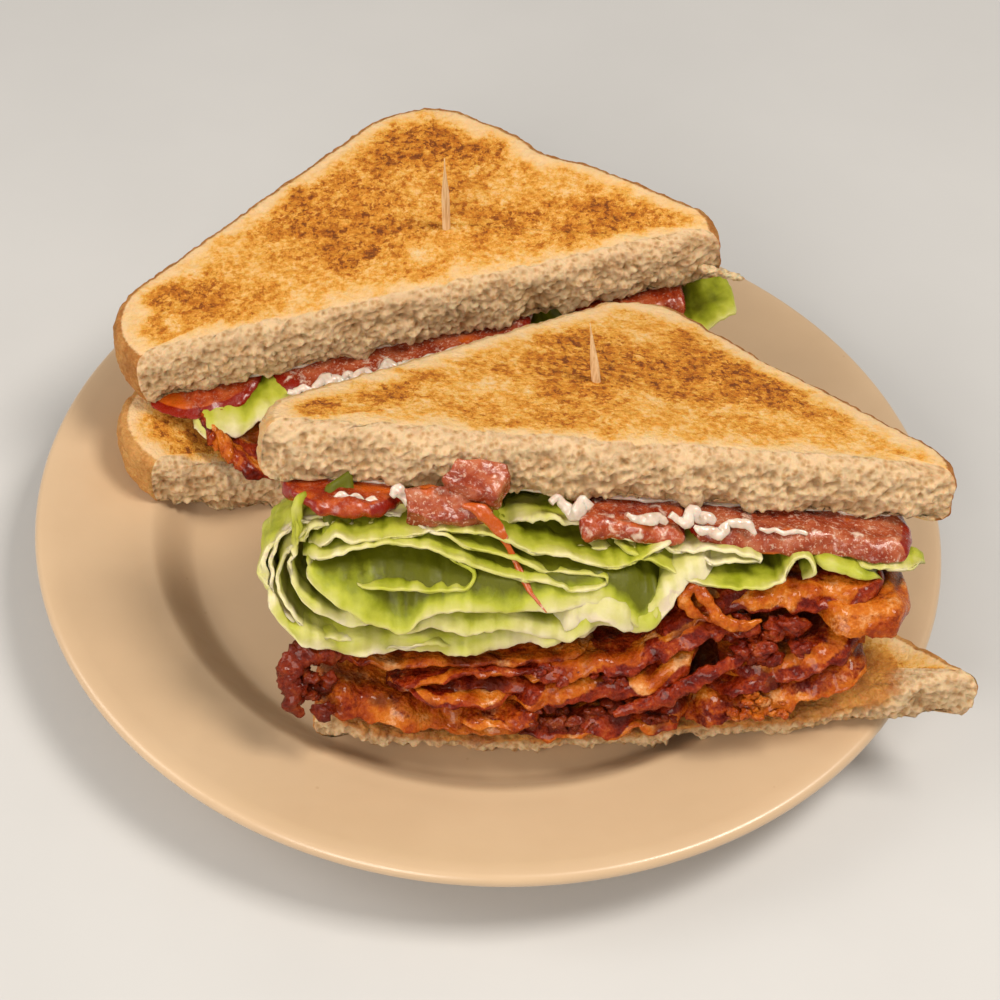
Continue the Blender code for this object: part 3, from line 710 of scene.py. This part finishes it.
def add_rasher(batch, half, path, depth, hang, steep, seed, fat=0, crisp=0, crinkle=1):
    """A rasher of bacon; fat and crisp shift its colour, and crisp also carries painted shade where the
    rasher runs deep into the filling.
    """
    point, length, along = drape(half, path, depth, hang, steep, 32, 0.65, 2, seed)
    spot = xyz(along, length, seed * 11)
    wave = 1.8 * grain(spot, 9) + 1.1 * grain(spot, 4.2) + 0.4 * grain(spot, 1.9) + 0.15 * grain(spot, 1)
    point = pushed(point, crinkle * wave * mix(1, 0.5, smooth(8, 20, length)))
    streak = np.sin(2 * math.pi * (length / 12 + 0.7 * grain(spot, 11, 3) + seed))
    fatty = np.clip(smooth(0.1, 0.7, streak + 0.6 * grain(spot, 5, 4)) + fat, 0, 1)
    # The length term darkens the rasher further from its front edge, as painted shade in the crevices deep in
    # the filling.
    crisp_and_deep_shade = np.clip(0.3 + 0.9 * grain(spot, 6, 5) + 0.6 * smooth(7, 17, length) + crisp, 0, 1)
    add_sheet(batch, point, RASHER_THICK * (1 + 0.35 * grain(spot, 3, 6)), fat=fatty, crisp=crisp_and_deep_shade)


def add_lump(batch, at, size, seed, **layers):
    """A knobbly crumb round a point."""
    a = 2 * math.pi * np.arange(ROUND_SIDES) / ROUND_SIDES
    b = np.linspace(-1.4, 1.4, ROUND_SIDES // 2 + 2)
    a, b = np.meshgrid(a, b, indexing="xy")
    shape = xyz(np.cos(b) * np.cos(a), np.cos(b) * np.sin(a), np.sin(b))
    bulge = 1 + 0.8 * grain(shape + seed, 0.9) + 0.4 * grain(shape + seed, 0.4)
    add_tube(batch, shape * bulge[..., None] * np.asarray(size) + at, **layers)


def add_strand(batch, points, radii, rough=0.3, **layers):
    """A flattened thread through the points."""
    middle = curve(points, 0.4, (1, 1, 1))
    size = np.interp(np.linspace(0, 1, len(middle)), np.linspace(0, 1, len(radii)), radii)
    way = np.gradient(middle, axis=0)
    side = np.cross(way, (0, -0.7, 0.7))
    side /= np.maximum(np.linalg.norm(side, axis=1), 1e-6)[:, None]
    up = np.cross(side, way)
    up /= np.linalg.norm(up, axis=1)[:, None]
    a = (-2 * math.pi * np.arange(ROUND_SIDES) / ROUND_SIDES)[None, :, None]
    arm = np.cos(a) * side[:, None] + 0.65 * np.sin(a) * up[:, None]
    spot = middle[:, None] + size[:, None, None] * arm
    swell = 1 + rough * (grain(spot, 3) + 0.8 * grain(spot, 1.4))
    add_tube(batch, middle[:, None] + (size[:, None] * swell)[..., None] * arm, **layers)


def add_crumbs(batch, half, count, x, t, y, size, seed, **layers):
    """Lumps spread at random over ranges of x, t and y."""
    rng = random.Random(seed)
    for n in range(count):
        spot = half.fill(*(np.array(rng.uniform(*r)) for r in (x, y, t)))
        radius = rng.uniform(*size)
        add_lump(batch, spot, (radius, radius * rng.uniform(0.6, 1), radius * rng.uniform(0.5, 0.9)),
                 seed + n * 1.7, **layers)


# Each rasher: the points (x, t, y) of its front edge, its depth, hang, steepness and seed, and how much
# fatter, crisper and more crinkled it is than most.
RASHERS = {
    "front_bacon_1": (
        ([(-76, 0.03, -4), (-64, 0.07, -5.5), (-52, 0.07, -6), (-40, 0.06, -6), (-26, 0.08, -6)],
         24, 9, 52, 0.1, 0.6, -0.2, 0.6),
        ([(-44, 0.1, -8), (-36, 0.13, -9.5), (-28, 0.12, -9), (-22, 0.17, -7)], 4, 3, 45, 0.4, 0.5),
        ([(-16, 0.34, -7), (-30, 0.335, -8.5), (-44, 0.31, -9), (-53, 0.265, -9), (-57, 0.24, -7)],
         12, 1.5, 40, 1.2, 0.3, -0.2, 0.6),
        ([(-55, 0.25, -8), (-47, 0.22, -9.5), (-37, 0.2, -9.5),
          (-28, 0.22, -8.5)], 10, 2.5, 35, 1.9, 0.1, 0, 0.6)),
    "front_bacon_2": (
        ([(-30, 0.05, -5.5), (-14, 0.05, -6.5), (0, 0.05, -6.5),
          (12, 0.07, -6)], 22, 7, 50, 2.3, -0.1, 0.15),
        ([(-30, 0.18, -8), (-10, 0.24, -9.5), (5, 0.28, -9.5), (17, 0.42, -8)], 24, 5, 55, 2.9, 0.15),
        ([(10, 0.07, -6), (26, 0.1, -6.5), (40, 0.15, -6.5),
          (52, 0.18, -5.5)], 22, 7, 52, 3.4, 0.45, 0, 0.7)),
    "front_bacon_3": (
        ([(-58, 0.2, -6), (-40, 0.24, -6), (-20, 0.25, -6)], 30, 3, 45, 4.2, -0.5, 0.3),
        ([(20, 0.27, -7), (34, 0.28, -8), (45, 0.33, -8), (53, 0.34, -7)], 40, 6, 55, 5.5, 0.35),
        ([(16, 0.2, -7), (26, 0.24, -7.5), (36, 0.26, -7)], 20, 3, 55, 5.9, -0.5, 0.2)),
    "front_bacon_4": (
        ([(-69, 0.31, -5), (-55, 0.335, -7.5), (-40, 0.365, -8), (-23, 0.385, -8), (-8, 0.42, -8)],
         34, 1.5, 35, 6.1, 0.5, 0, 0.7),
        ([(-28, 0.29, -7.5), (-14, 0.34, -9), (0, 0.36, -9.5), (13, 0.47, -9.5), (27, 0.53, -8)],
         36, 4.5, 52, 6.8, 0.3),
        ([(10, 0.56, -6), (26, 0.6, -7.5), (40, 0.62, -8), (50, 0.6, -7.5),
          (60, 0.64, -6)], 34, 5, 55, 7.9, 0.25),
        ([(4, 0.44, -8.5), (14, 0.53, -8.5), (24, 0.62, -7), (32, 0.66, -6)], 20, 4, 50, 8.2, 0, 0.1)),
    "front_bacon_5": (
        ([(43, 0.53, -8.5), (50, 0.49, -9.5), (58, 0.47, -9),
          (64.5, 0.49, -7)], 18, 6, 52, 8.6, 0.7, -0.2, 0.7),),
    "back_bacon_1": (
        ([(-57, 0.6, -3), (-54, 0.42, -4.5), (-50, 0.2, -5), (-44, 0.06, -5), (-36, 0.12, -5),
          (-20, 0.3, -4),
          (6, 0.3, -4)], 34, 3, 50, 9.1, 0.3),
        ([(-61, 0.8, -3.5), (-58, 0.6, -4.5), (-56, 0.44, -4.5),
          (-52.5, 0.33, -4)], 3, 2, 40, 9.4, 0.4, -0.2)),
    "back_bacon_2": (([(-16, 0.45, -4), (10, 0.45, -4), (50, 0.45, -4)], 50, 2, 40, 9.7),)}

# Each heap of crumbs: how many, the ranges of x, t, y and radius, fat and crisp; a high crisp here is partly
# painted shade, darkening lumps that face the light.
CRUMBS = {
    "front_bacon_1": ((14, (-80, -70), (0.1, 0.3), (-8, -3), (1.6, 2.8), -0.5, 0.75),),
    "front_bacon_2": ((26, (-28, 8), (0.09, 0.2), (-8, -4), (1, 2.4), 0, 0.75),),
    "front_bacon_3": ((26, (24, 42), (0.38, 0.56), (-9, -5), (1.6, 3.2), -0.4, 0.6),
                      (16, (20, 33), (0.13, 0.23), (-9, -7), (0.7, 1.5), 0.7, 0.45)),
    "front_bacon_4": ((12, (-22, -2), (0.3, 0.38), (-9, -7), (1, 2.2), 0.1, 0.3),)}

# Each curl: its points, its radii from end to end, fat and crisp; a high crisp here is partly painted shade,
# darkening curls that face the light.
CURLS = {
    "front_bacon_1": (
        ([(-64, 0.35, -4), (-71, 0.35, -6), (-76, 0.33, -7), (-79.5, 0.26, -8), (-79, 0.19, -8),
          (-76, 0.22, -7)],
         (2, 3, 3.4, 3.2, 2.6, 1.6), -0.8, 0.7),
        ([(-79, 0.22, -8.5), (-79.5, 0.14, -8.5), (-78, 0.08, -8)], (2.2, 2.2, 0.8), -0.8, 0.75)),
    "front_bacon_3": (
        ([(-6, 0.17, -8.5), (2, 0.23, -9.5), (10, 0.3, -10.5), (19, 0.385, -10.5), (28, 0.455, -9)],
         (0.8, 1.7, 2.2, 1.9, 1.7, 0.8), -0.7, 0.45),),
    "front_bacon_4": (
        ([(20, 0.6, -10), (15.5, 0.64, -9.5), (14, 0.7, -9), (17, 0.735, -9), (19, 0.69, -10),
          (21.5, 0.62, -11),
          (27, 0.585, -10.5), (31, 0.6, -9.5)], (0.6, 1.2, 1.5, 1.5, 1.6, 1.5, 1.2, 0.4), 1.2, -0.4),)}


def make_bacon():
    for node, rashers in RASHERS.items():
        half = half_of(node)
        batch = Batch()
        for path, radii, fat, crisp in CURLS.get(node, ()):
            x, t, y = np.array(path).T
            add_strand(batch, half.fill(x, y, t), radii, 0.55, fat=fat, crisp=crisp)
        for path, *looks in rashers:
            add_rasher(batch, half, path, *looks)
        for n, (count, *spread, fat, crisp) in enumerate(CRUMBS.get(node, ())):
            add_crumbs(batch, half, count, *spread, n + len(node) + count, fat=fat, crisp=crisp)
        batch.make(node + "_fried", BACON, [node])


def add_leaf(batch, half, path, depth, hang=0, steep=70, seed=0, ruffle=1, pale=0.4, close=None,
             thick=0.8, dark=0.3, ragged=0.9):
    """A lettuce leaf whose front edge follows path; dark is how much painted shade darkens its green further
    in from its front edge.
    """
    point, length, along = drape(half, path, depth, hang, steep, 30, 0.8, ragged, seed, close)
    edge = np.exp(-length / 7)
    spot = xyz(along, length, seed * 13)
    wave = (0.25 + 0.85 * edge) * np.sin(along / 3.6 + 3.5 * grain(spot, 16) + seed)
    wave += (0.6 + 0.7 * edge) * grain(spot, 6)
    rib = grain(xyz(along, length / 6, seed * 5), 1.8) + 0.8 * grain(xyz(along, length / 3.5, seed * 7), 4)
    crimp = 0.45 * rib + 0.45 * grain(spot, 2.6)
    # The dark term is painted shade: the leaf turns darker away from its front edge, deep in the filling.
    shade = pale + 0.35 * np.exp(-length / 1.4) + 0.25 * grain(spot, 9, 2) - dark * smooth(1.5, 10, length)
    add_sheet(batch, pushed(point, ruffle * wave + crimp), thick * (1 + 0.3 * grain(spot, 8, 1)),
              pale=shade, rib=rib)


# Each leaf: the points (x, t, y) or (x, t, y, hang) of its front edge, its depth and its looks.
LEAVES = {
    "front_lettuce_1": (
        # The outermost leaf, one inside it, a scrap at the left and the leaf round the hollow.
        ([(24, 0.86, -4, 0), (4, 0.92, -3.5, 0), (-18, 0.92, -3, 0), (-40, 0.91, -3, 0),
          (-58, 0.92, -3, 0),
          (-73, 0.86, -4, 0), (-80, 0.72, -6, 0), (-80, 0.56, -7.5, 1), (-76, 0.42, -9, 3),
          (-66, 0.39, -9.5, 5),
          (-53, 0.425, -9.5, 5), (-40, 0.43, -9.5, 5), (-28, 0.47, -9.5, 5), (-14, 0.5, -10, 4),
          (-4, 0.54, -9, 3)],
         62, dict(seed=1, pale=0.58, thick=1, dark=0.14, close=(0.62, 0.3))),
        ([(-54, 0.86, -3.5), (-62, 0.87, -4), (-71, 0.82, -5), (-77, 0.71, -7), (-77.5, 0.58, -9),
          (-72, 0.48, -10),
          (-60, 0.45, -10), (-46, 0.46, -10), (-30, 0.49, -10)],
         30, dict(seed=1.4, pale=0.5, ruffle=0.8, dark=0.1, close=(0.66, 0.3))),
        ([(-62, 0.89, -3), (-72.5, 0.85, -4.5), (-79, 0.71, -6), (-79, 0.57, -7.5), (-74, 0.45, -8.5),
          (-63, 0.42, -9), (-50, 0.445, -9), (-38, 0.455, -9), (-26, 0.485, -9)],
         16, dict(seed=1.2, pale=0.7, ruffle=0.6, dark=0)),
        ([(14, 0.84, -6, 0), (-10, 0.85, -5, 0), (-34, 0.87, -4.5, 0), (-54, 0.88, -4, 0),
          (-67, 0.85, -4.5, 0),
          (-74, 0.74, -7, 0), (-73, 0.6, -10, 2), (-65, 0.54, -11, 3), (-59, 0.55, -11.5, 4),
          (-50, 0.525, -11.5, 4),
          (-43, 0.555, -11.5, 4), (-36, 0.535, -12, 5), (-29, 0.565, -12, 5), (-22, 0.545, -12, 5),
          (-14, 0.525, -12, 5), (-6, 0.59, -12, 5), (3.5, 0.565, -11.5, 5), (10.5, 0.66, -10, 5),
          (17, 0.8, -8, 3)],
         56, dict(steep=58, seed=1.7, pale=0.52, dark=0.18, close=(0.66, 0.4)))),
    "front_lettuce_2": (
        # The hollow, and the leaf folded in it.
        ([(2, 0.76, -8.5, 0), (-12, 0.73, -7, 0), (-25, 0.75, -5, 0), (-36, 0.79, -4, 0),
          (-45, 0.83, -4, 0),
          (-56, 0.81, -4.5, 0), (-67, 0.76, -7, 0), (-70.5, 0.7, -10, 3), (-67, 0.655, -12.5, 7),
          (-60, 0.6, -13.5, 9), (-51, 0.545, -14, 12), (-46, 0.61, -14, 10), (-38, 0.645, -14, 9),
          (-25, 0.66, -14, 9), (-15, 0.665, -13.5, 9), (-6, 0.695, -13, 8), (0, 0.65, -13, 9),
          (4, 0.59, -12.5, 9),
          (10, 0.69, -10.5, 5)],
         40, dict(steep=50, seed=2.3, ruffle=0.6, pale=0.42, dark=0.62, close=(0.78, 0.85))),
        ([(-63, 0.72, -12.5), (-55.5, 0.716, -13.5), (-46, 0.722, -13.8), (-39, 0.73, -13.8),
          (-34.7, 0.742, -13.8),
          (-32.6, 0.785, -13.2), (-34.8, 0.825, -12.5), (-41, 0.85, -11)],
         16, dict(seed=3, ruffle=0.12, pale=0.22, dark=0.3, ragged=0.3))),
    "front_lettuce_3": (
        # Two ribbons over the hollow, and a lip at its right.
        ([(-71.5, 0.74, -10), (-69, 0.785, -11), (-65, 0.8, -11.5), (-58, 0.845, -11.5),
          (-46.6, 0.885, -11.5),
          (-37.3, 0.85, -12), (-29.5, 0.8, -12.5), (-20, 0.783, -13), (-11, 0.75, -13.5),
          (-5, 0.758, -12.5),
          (-3, 0.785, -11.5), (-12, 0.8, -11), (-18.4, 0.8, -11), (-24.6, 0.84, -10.5), (-32, 0.87, -10),
          (-39.4, 0.905, -9.5), (-46, 0.905, -8.5)],
         26, dict(seed=4.1, ruffle=0.35, pale=0.38, dark=0.35, ragged=0.6)),
        ([(-70, 0.79, -8.5), (-66, 0.83, -9.5), (-62.5, 0.88, -10), (-59.5, 0.86, -10.5),
          (-53.6, 0.885, -10.5),
          (-45.6, 0.91, -10), (-38, 0.925, -9), (-28, 0.915, -9.5), (-20.8, 0.885, -10),
          (-12.7, 0.852, -10.5),
          (-5.2, 0.838, -11), (1.4, 0.842, -11), (9, 0.885, -9), (16, 0.9, -6)],
         26, dict(seed=4.3, ruffle=0.45, pale=0.48, dark=0.35, ragged=0.6)),
        ([(-18, 0.56, -12.5), (-6, 0.61, -13), (3, 0.58, -12), (9, 0.64, -11), (15, 0.74, -8.5),
          (24, 0.77, -5)],
         26, dict(hang=6, steep=60, seed=4.6, pale=0.8, ragged=1.4))),
    "front_lettuce_4": (
        ([(-4, 0.9, -4.5), (12, 0.88, -6.5), (24, 0.88, -8), (33, 0.86, -8), (27, 0.845, -8.5),
          (17, 0.85, -8.5)],
         24, dict(seed=5.2, ruffle=0.5, pale=0.6)),
        ([(0, 0.85, -7.5), (9, 0.84, -9), (18, 0.77, -10.5), (29, 0.755, -10.5), (37, 0.765, -9.5),
          (38.5, 0.82, -8.5), (41, 0.875, -8), (44, 0.865, -8), (45, 0.81, -9), (42, 0.745, -10)],
         22, dict(seed=5.9, ruffle=0.4, pale=0.35)),
        ([(43, 0.82, -6), (50, 0.79, -7), (56, 0.75, -8), (60, 0.7, -9)],
         24, dict(hang=1.5, seed=6.4, ruffle=0.5, pale=0.25)),
        ([(50, 0.8, -5), (60, 0.81, -6.5), (66, 0.8, -6.5), (71, 0.76, -6)],
         3, dict(seed=6.9, ruffle=0.4))),
    "back_lettuce_1": (
        ([(-60, 0.45, -3), (-56, 0.55, -4.5), (-50, 0.6, -5), (-44, 0.66, -4), (-34, 0.66, -3),
          (0, 0.64, -3), (40, 0.62, -3)],
         70, dict(hang=3, steep=45, seed=7.7, ruffle=0.6, pale=0.6, ragged=1.6)),),
    "back_lettuce_2": (
        ([(58, 0.6, -5), (66, 0.68, -6), (75, 0.78, -5), (82, 0.74, -1), (84, 0.68, 6)],
         22, dict(seed=8.3, ruffle=0.5, pale=0.45)),)}


def make_lettuce():
    for node, leaves in LEAVES.items():
        batch = Batch()
        for path, depth, looks in leaves:
            add_leaf(batch, half_of(node), path, depth, **looks)
        batch.make(node + "_leaf", LETTUCE, [node])


def add_block(batch, low, high, seed, on_cut, pink=0, jelly=0, rough=0.6, cream=0):
    """A slice of tomato between two rings of points; on_cut is 1 where the ring has no skin."""
    steps = len(low)
    bend = np.linspace(-math.pi / 2, math.pi / 2, 17)
    spread = [(s, 0) for s in np.linspace(0.1, 0.86, 9)]
    spread += [(mix(0.9, 1, math.cos(b)), 0.5 + 0.5 * math.sin(b)) for b in bend]
    spread += [(s, 1) for s in np.linspace(0.86, 0.1, 9)]
    ends = low.mean(axis=0), high.mean(axis=0)
    rows = [mix(mix(ends[0], low, part), mix(ends[1], high, part), k) for part, k in spread]
    points = np.concatenate(rows)
    faces = grid_faces(len(spread), steps, wrap=True)
    bumpy = 1.5 * grain(points, 7, seed) + 0.7 * grain(points, 2.6, seed) + 0.3 * grain(points, 1, seed)
    points = points + vertex_normals(points, faces) * (rough * bumpy)[:, None]
    part = np.repeat([p for p, k in spread], steps)
    skin = smooth(0.93, 0.98, part) * (1 - np.tile(on_cut, len(spread)))
    wet = smooth(0.2, 0.55, grain(points, 9, seed + 1) + jelly) * smooth(1.01, 0.95, part)
    rings = points.reshape(len(spread), steps, 3)
    add_rings(batch, rings, ends, skin=skin, jelly=wet, pink=pink, cream=cream)


def add_slab(batch, half, centre, radii, low, high, front, seed, **looks):
    """A round slice cut off at y = front, between two depths under the top slice."""
    a = 2 * math.pi * np.arange(170) / 170
    ring = xyz(np.cos(a) + seed, np.sin(a), seed)
    size = 1 + 0.07 * grain(ring, 0.7) + 0.03 * grain(ring, 0.2)
    x = centre[0] + radii[0] * size * np.cos(a)
    edge = front + 1.6 * grain(xyz(x, 0, seed), 9) + 0.6 * grain(xyz(x, 0, seed), 3)
    y = np.maximum(edge, centre[1] + radii[1] * size * np.sin(a))
    under = low + 1.5 * grain(xyz(x, y, seed), 12) + 0.6 * grain(xyz(x, y, seed), 4)
    add_block(batch, half.under_lid(x, y, under), half.under_lid(x, y, high), seed, y <= edge + 0.01, **looks)


def add_chunk(batch, half, corners, behind, seed, **looks):
    """A broken piece; corners go round its near face, and behind is how far y and t shift back."""
    ends = np.array(list(corners) + [corners[0]], float)[::-1]
    near = np.concatenate([mix(a, b, np.linspace(0, 1, 16)[:-1, None]) for a, b in zip(ends, ends[1:])])
    rings = [half.fill(near[:, 0], near[:, 2] + behind[0] * k, near[:, 1] + behind[1] * k) for k in (1, 0)]
    add_block(batch, *rings, seed, 1 + 0 * near[:, 0], **looks)


# Each slice: its middle, its radii, its lowest and highest depth under the top slice, where it is cut off,
# and how pink and creamy it is.
SLICES = {
    "front_tomato_1": ((-60, 7), (15, 15), 4.6, 0.8, -7, 0, 0),
    "front_tomato_2": ((-35, 5), (8.5, 15), 6.1, 2.4, -5, 0.6, 0.1),
    "front_tomato_3": None,
    "front_tomato_4": ((5, 6), (13.5, 24), 6.8, 1.2, -6.5, 0.35, 0.35),
    "front_tomato_5": ((43, 3), (27, 20), 6.8, 1.2, -6.2, 0.9, 0.25),
    "back_tomato_1": ((-58, 8), (15, 11), 5, 1.5, -4, 0.2, 0),
    "back_tomato_2": ((-6, 16), (38, 30), 6.8, 1.5, -4.5, 0.8, 0.35),
    "back_tomato_3": ((54, 6), (16, 17), 7.7, 1.9, -2, 0.3, 0)}

# Each broken piece: the corners (x, t, y) of its near face, how far y and t shift behind it, and its looks.
CHUNKS = {
    "front_tomato_2": (((-46, 1.06, -6), (-40, 1.09, -6), (-33, 1.07, -6), (-29, 1, -8.5),
                        (-34, 0.975, -9.5),
                        (-41, 0.975, -9.5), (-46.5, 0.985, -9)),
                       (3.5, -0.08), 4.2, dict(pink=0.9, rough=0.8)),
    "front_tomato_3": (((-36.9, 1.13, -8), (-33, 1.17, -4), (-21.4, 1.17, -4), (-21, 1.14, -5.5),
                        (-25.3, 1.08, -9),
                        (-30.2, 1.1, -9.5), (-35.8, 1.11, -9)), (3, -0.09), 6.1, dict(pink=0.7, rough=0.7))}

THREAD = ((-33, 1.03, -9), (-29, 1.02, -9.5), (-25.5, 0.94, -9.5), (-23.5, 0.85, -9.5), (-22.5, 0.8, -10),
          (-20.5, 0.73, -12.5), (-17.5, 0.67, -14.5))
THREAD_RADII = (0.5, 1.7, 1.5, 0.8, 0.6, 0.9, 0.45, 0.2)


def make_tomatoes():
    for n, (node, whole) in enumerate(SLICES.items()):
        half = half_of(node)
        batch = Batch()
        if whole:
            *form, pink, cream = whole
            add_slab(batch, half, *form, n * 1.37, pink=pink, cream=cream)
        if node in CHUNKS:
            *form, looks = CHUNKS[node]
            add_chunk(batch, half, *form, **looks)
        if node == "front_tomato_2":
            x, t, y = np.array(THREAD).T
            add_strand(batch, half.fill(x, y, t), THREAD_RADII, skin=0, jelly=0.7, pink=0.6, cream=0.25)
        batch.make(node + "_slice", TOMATO, [node])


def add_smear(batch, half, x, t, y, size, seed):
    """A soft uneven streak over a range of x; t, y and its radius wander in their ranges."""
    rng = random.Random(seed)
    along = np.linspace(*x, max(5, int((x[1] - x[0]) / 1.4)))
    ways = [np.array([rng.uniform(*span) for _ in along]) for span in (y, t, size)]
    ways[2][[0, -1]] *= 0.5
    add_strand(batch, half.fill(along, *ways[:2]), 0.8 * ways[2], 0.4)


# Each spread: where it starts and stops along the cut, its depth, and its smears as the ranges of x, t, y
# and radius.
SPREADS = {
    "front_mayonnaise": (-66, 66, 52, (
        ((-49, -42), (0.97, 1.04), (-5, -3.5), (1.2, 2.2)), ((-13, -4), (0.98, 1.05), (-5, -3), (1, 2.6)),
        ((4, 13), (0.98, 1.03), (-7.5, -6), (0.7, 1.8)), ((14, 24), (0.99, 1.04), (-7, -5.5), (1, 2.4)),
        ((19, 33), (0.96, 1.02), (-7.5, -6.5), (0.6, 2)), ((-62, -52), (0.97, 1), (-5, -4), (0.4, 1.3)),
        ((34, 45), (0.97, 1), (-7, -6.3), (0.4, 1.2)))),
    "back_mayonnaise": (-52, 62, 50, (
        ((-38, -22), (0.9, 1), (-5.5, -4), (0.7, 2)), ((-24, -4), (0.93, 1.02), (-5.5, -4), (0.8, 2.4)),
        ((-8, 16), (0.95, 1), (-5.5, -4), (0.6, 2))))}


def make_mayonnaise():
    for node, (start, stop, depth, smears) in SPREADS.items():
        half = half_of(node)
        batch = Batch()
        u, v = np.meshgrid(np.linspace(0, 1, 170), np.linspace(0, 1, 24) ** 1.6, indexing="ij")
        x = mix(start, stop, u)
        spot = xyz(x, 0, start)
        front = 3 - 2 * grain(spot, 8) - 0.5 * grain(spot, 2)
        y = mix(front, np.minimum(depth, leg_depth(x) - 5), v)
        add_sheet(batch, half.under_lid(x, y, 0.7 + 0.25 * grain(xyz(x, y, 0), 4)), 0.9, edge=0.6)
        for n, smear in enumerate(smears):
            add_smear(batch, half, *smear, seed=n)
        batch.make(node + "_spread", MAYONNAISE, [node])


def make_toothpicks():
    z = np.linspace(0, PICK_LENGTH, 60)[:, None]
    blunt = np.minimum(1, 0.16 + 0.84 * smooth(0, 9, z))
    size = PICK_RADIUS * blunt * np.minimum(1, 0.12 + 0.88 * smooth(PICK_LENGTH, PICK_LENGTH - 14, z))
    a = 2 * math.pi * np.arange(20) / 20
    pick = xyz(size * np.cos(a), size * np.sin(a), z)
    # Each: where it stands on the top slice, how far it sticks out, and its lean in degrees.
    for node, half, x, y, above, lean in (("front_toothpick", FRONT, -2, 30.6, 17, (-6, -9, 0)),
                                          ("back_toothpick", BACK, 11, 22.8, 23, (0, -3, 0))):
        lean = Euler([math.radians(v) for v in lean]).to_matrix()
        turn = np.array(Matrix(half.to_plate.tolist()).to_3x3() @ lean)
        batch = Batch()
        add_tube(batch, (pick - (0, 0, PICK_LENGTH - above)) @ turn.T + half.lid(x, y, 1))
        batch.make(node + "_wood", WOOD, [node])


def make_stage():
    mesh = bpy.data.meshes.new("floor")
    reach = 3
    mesh.from_pydata([(-reach, -reach, 0), (reach, -reach, 0), (reach, reach, 0), (-reach, reach, 0)], [],
                     [(0, 1, 2, 3)])
    floor = bpy.data.objects.new("floor", mesh)
    floor.location.z = -0.0004
    bpy.context.scene.collection.objects.link(floor)
    f = Finish("pale_floor", Roughness=0.6)
    mesh.materials.append(f.done(f.ramp(f.noise(60), (0.3, (0.54, 0.54, 0.54)), (0.7, (0.56, 0.56, 0.56)))))

    world = bpy.data.worlds.new("studio")
    world.use_nodes = True
    world.node_tree.nodes["Background"].inputs["Color"].default_value = (1, 0.96, 0.9, 1)
    world.node_tree.nodes["Background"].inputs["Strength"].default_value = 0.3
    bpy.context.scene.world = world

    warm = (1, 0.93, 0.84)
    lamps = (("key", (0.4, -0.05, 0.8), 0.3, 5.8), ("fill", (-0.3, -0.75, 0.55), 0.45, 5.2),
             ("side", (-0.8, -0.1, 0.6), 0.5, 3.6))
    for name, at, size, power in lamps:
        light = bpy.data.lights.new(name, "AREA")
        light.size = size
        light.energy = power
        light.color = warm
        lamp = bpy.data.objects.new(name, light)
        lamp.location = at
        lamp.rotation_euler = (Vector((0, 0, 0.04)) - Vector(at)).to_track_quat("-Z", "Y").to_euler()
        bpy.context.scene.collection.objects.link(lamp)

    camera = bpy.data.cameras.new("camera")
    camera.sensor_width = 36
    camera.lens = CAMERA_LENS
    camera.clip_end = 20
    view = bpy.data.objects.new("camera", camera)
    up = CAMERA_RIGHT.cross(CAMERA_LOOK)
    turn = Matrix((CAMERA_RIGHT, up, -CAMERA_LOOK)).transposed()
    view.matrix_world = Matrix.Translation(CAMERA_AT * MM) @ turn.to_4x4()
    bpy.context.scene.collection.objects.link(view)
    bpy.context.scene.camera = view
    bpy.context.scene.view_settings.view_transform = "Standard"


make_plate()
make_bread()
make_bacon()
make_lettuce()
make_tomatoes()
make_mayonnaise()
make_toothpicks()
make_stage()
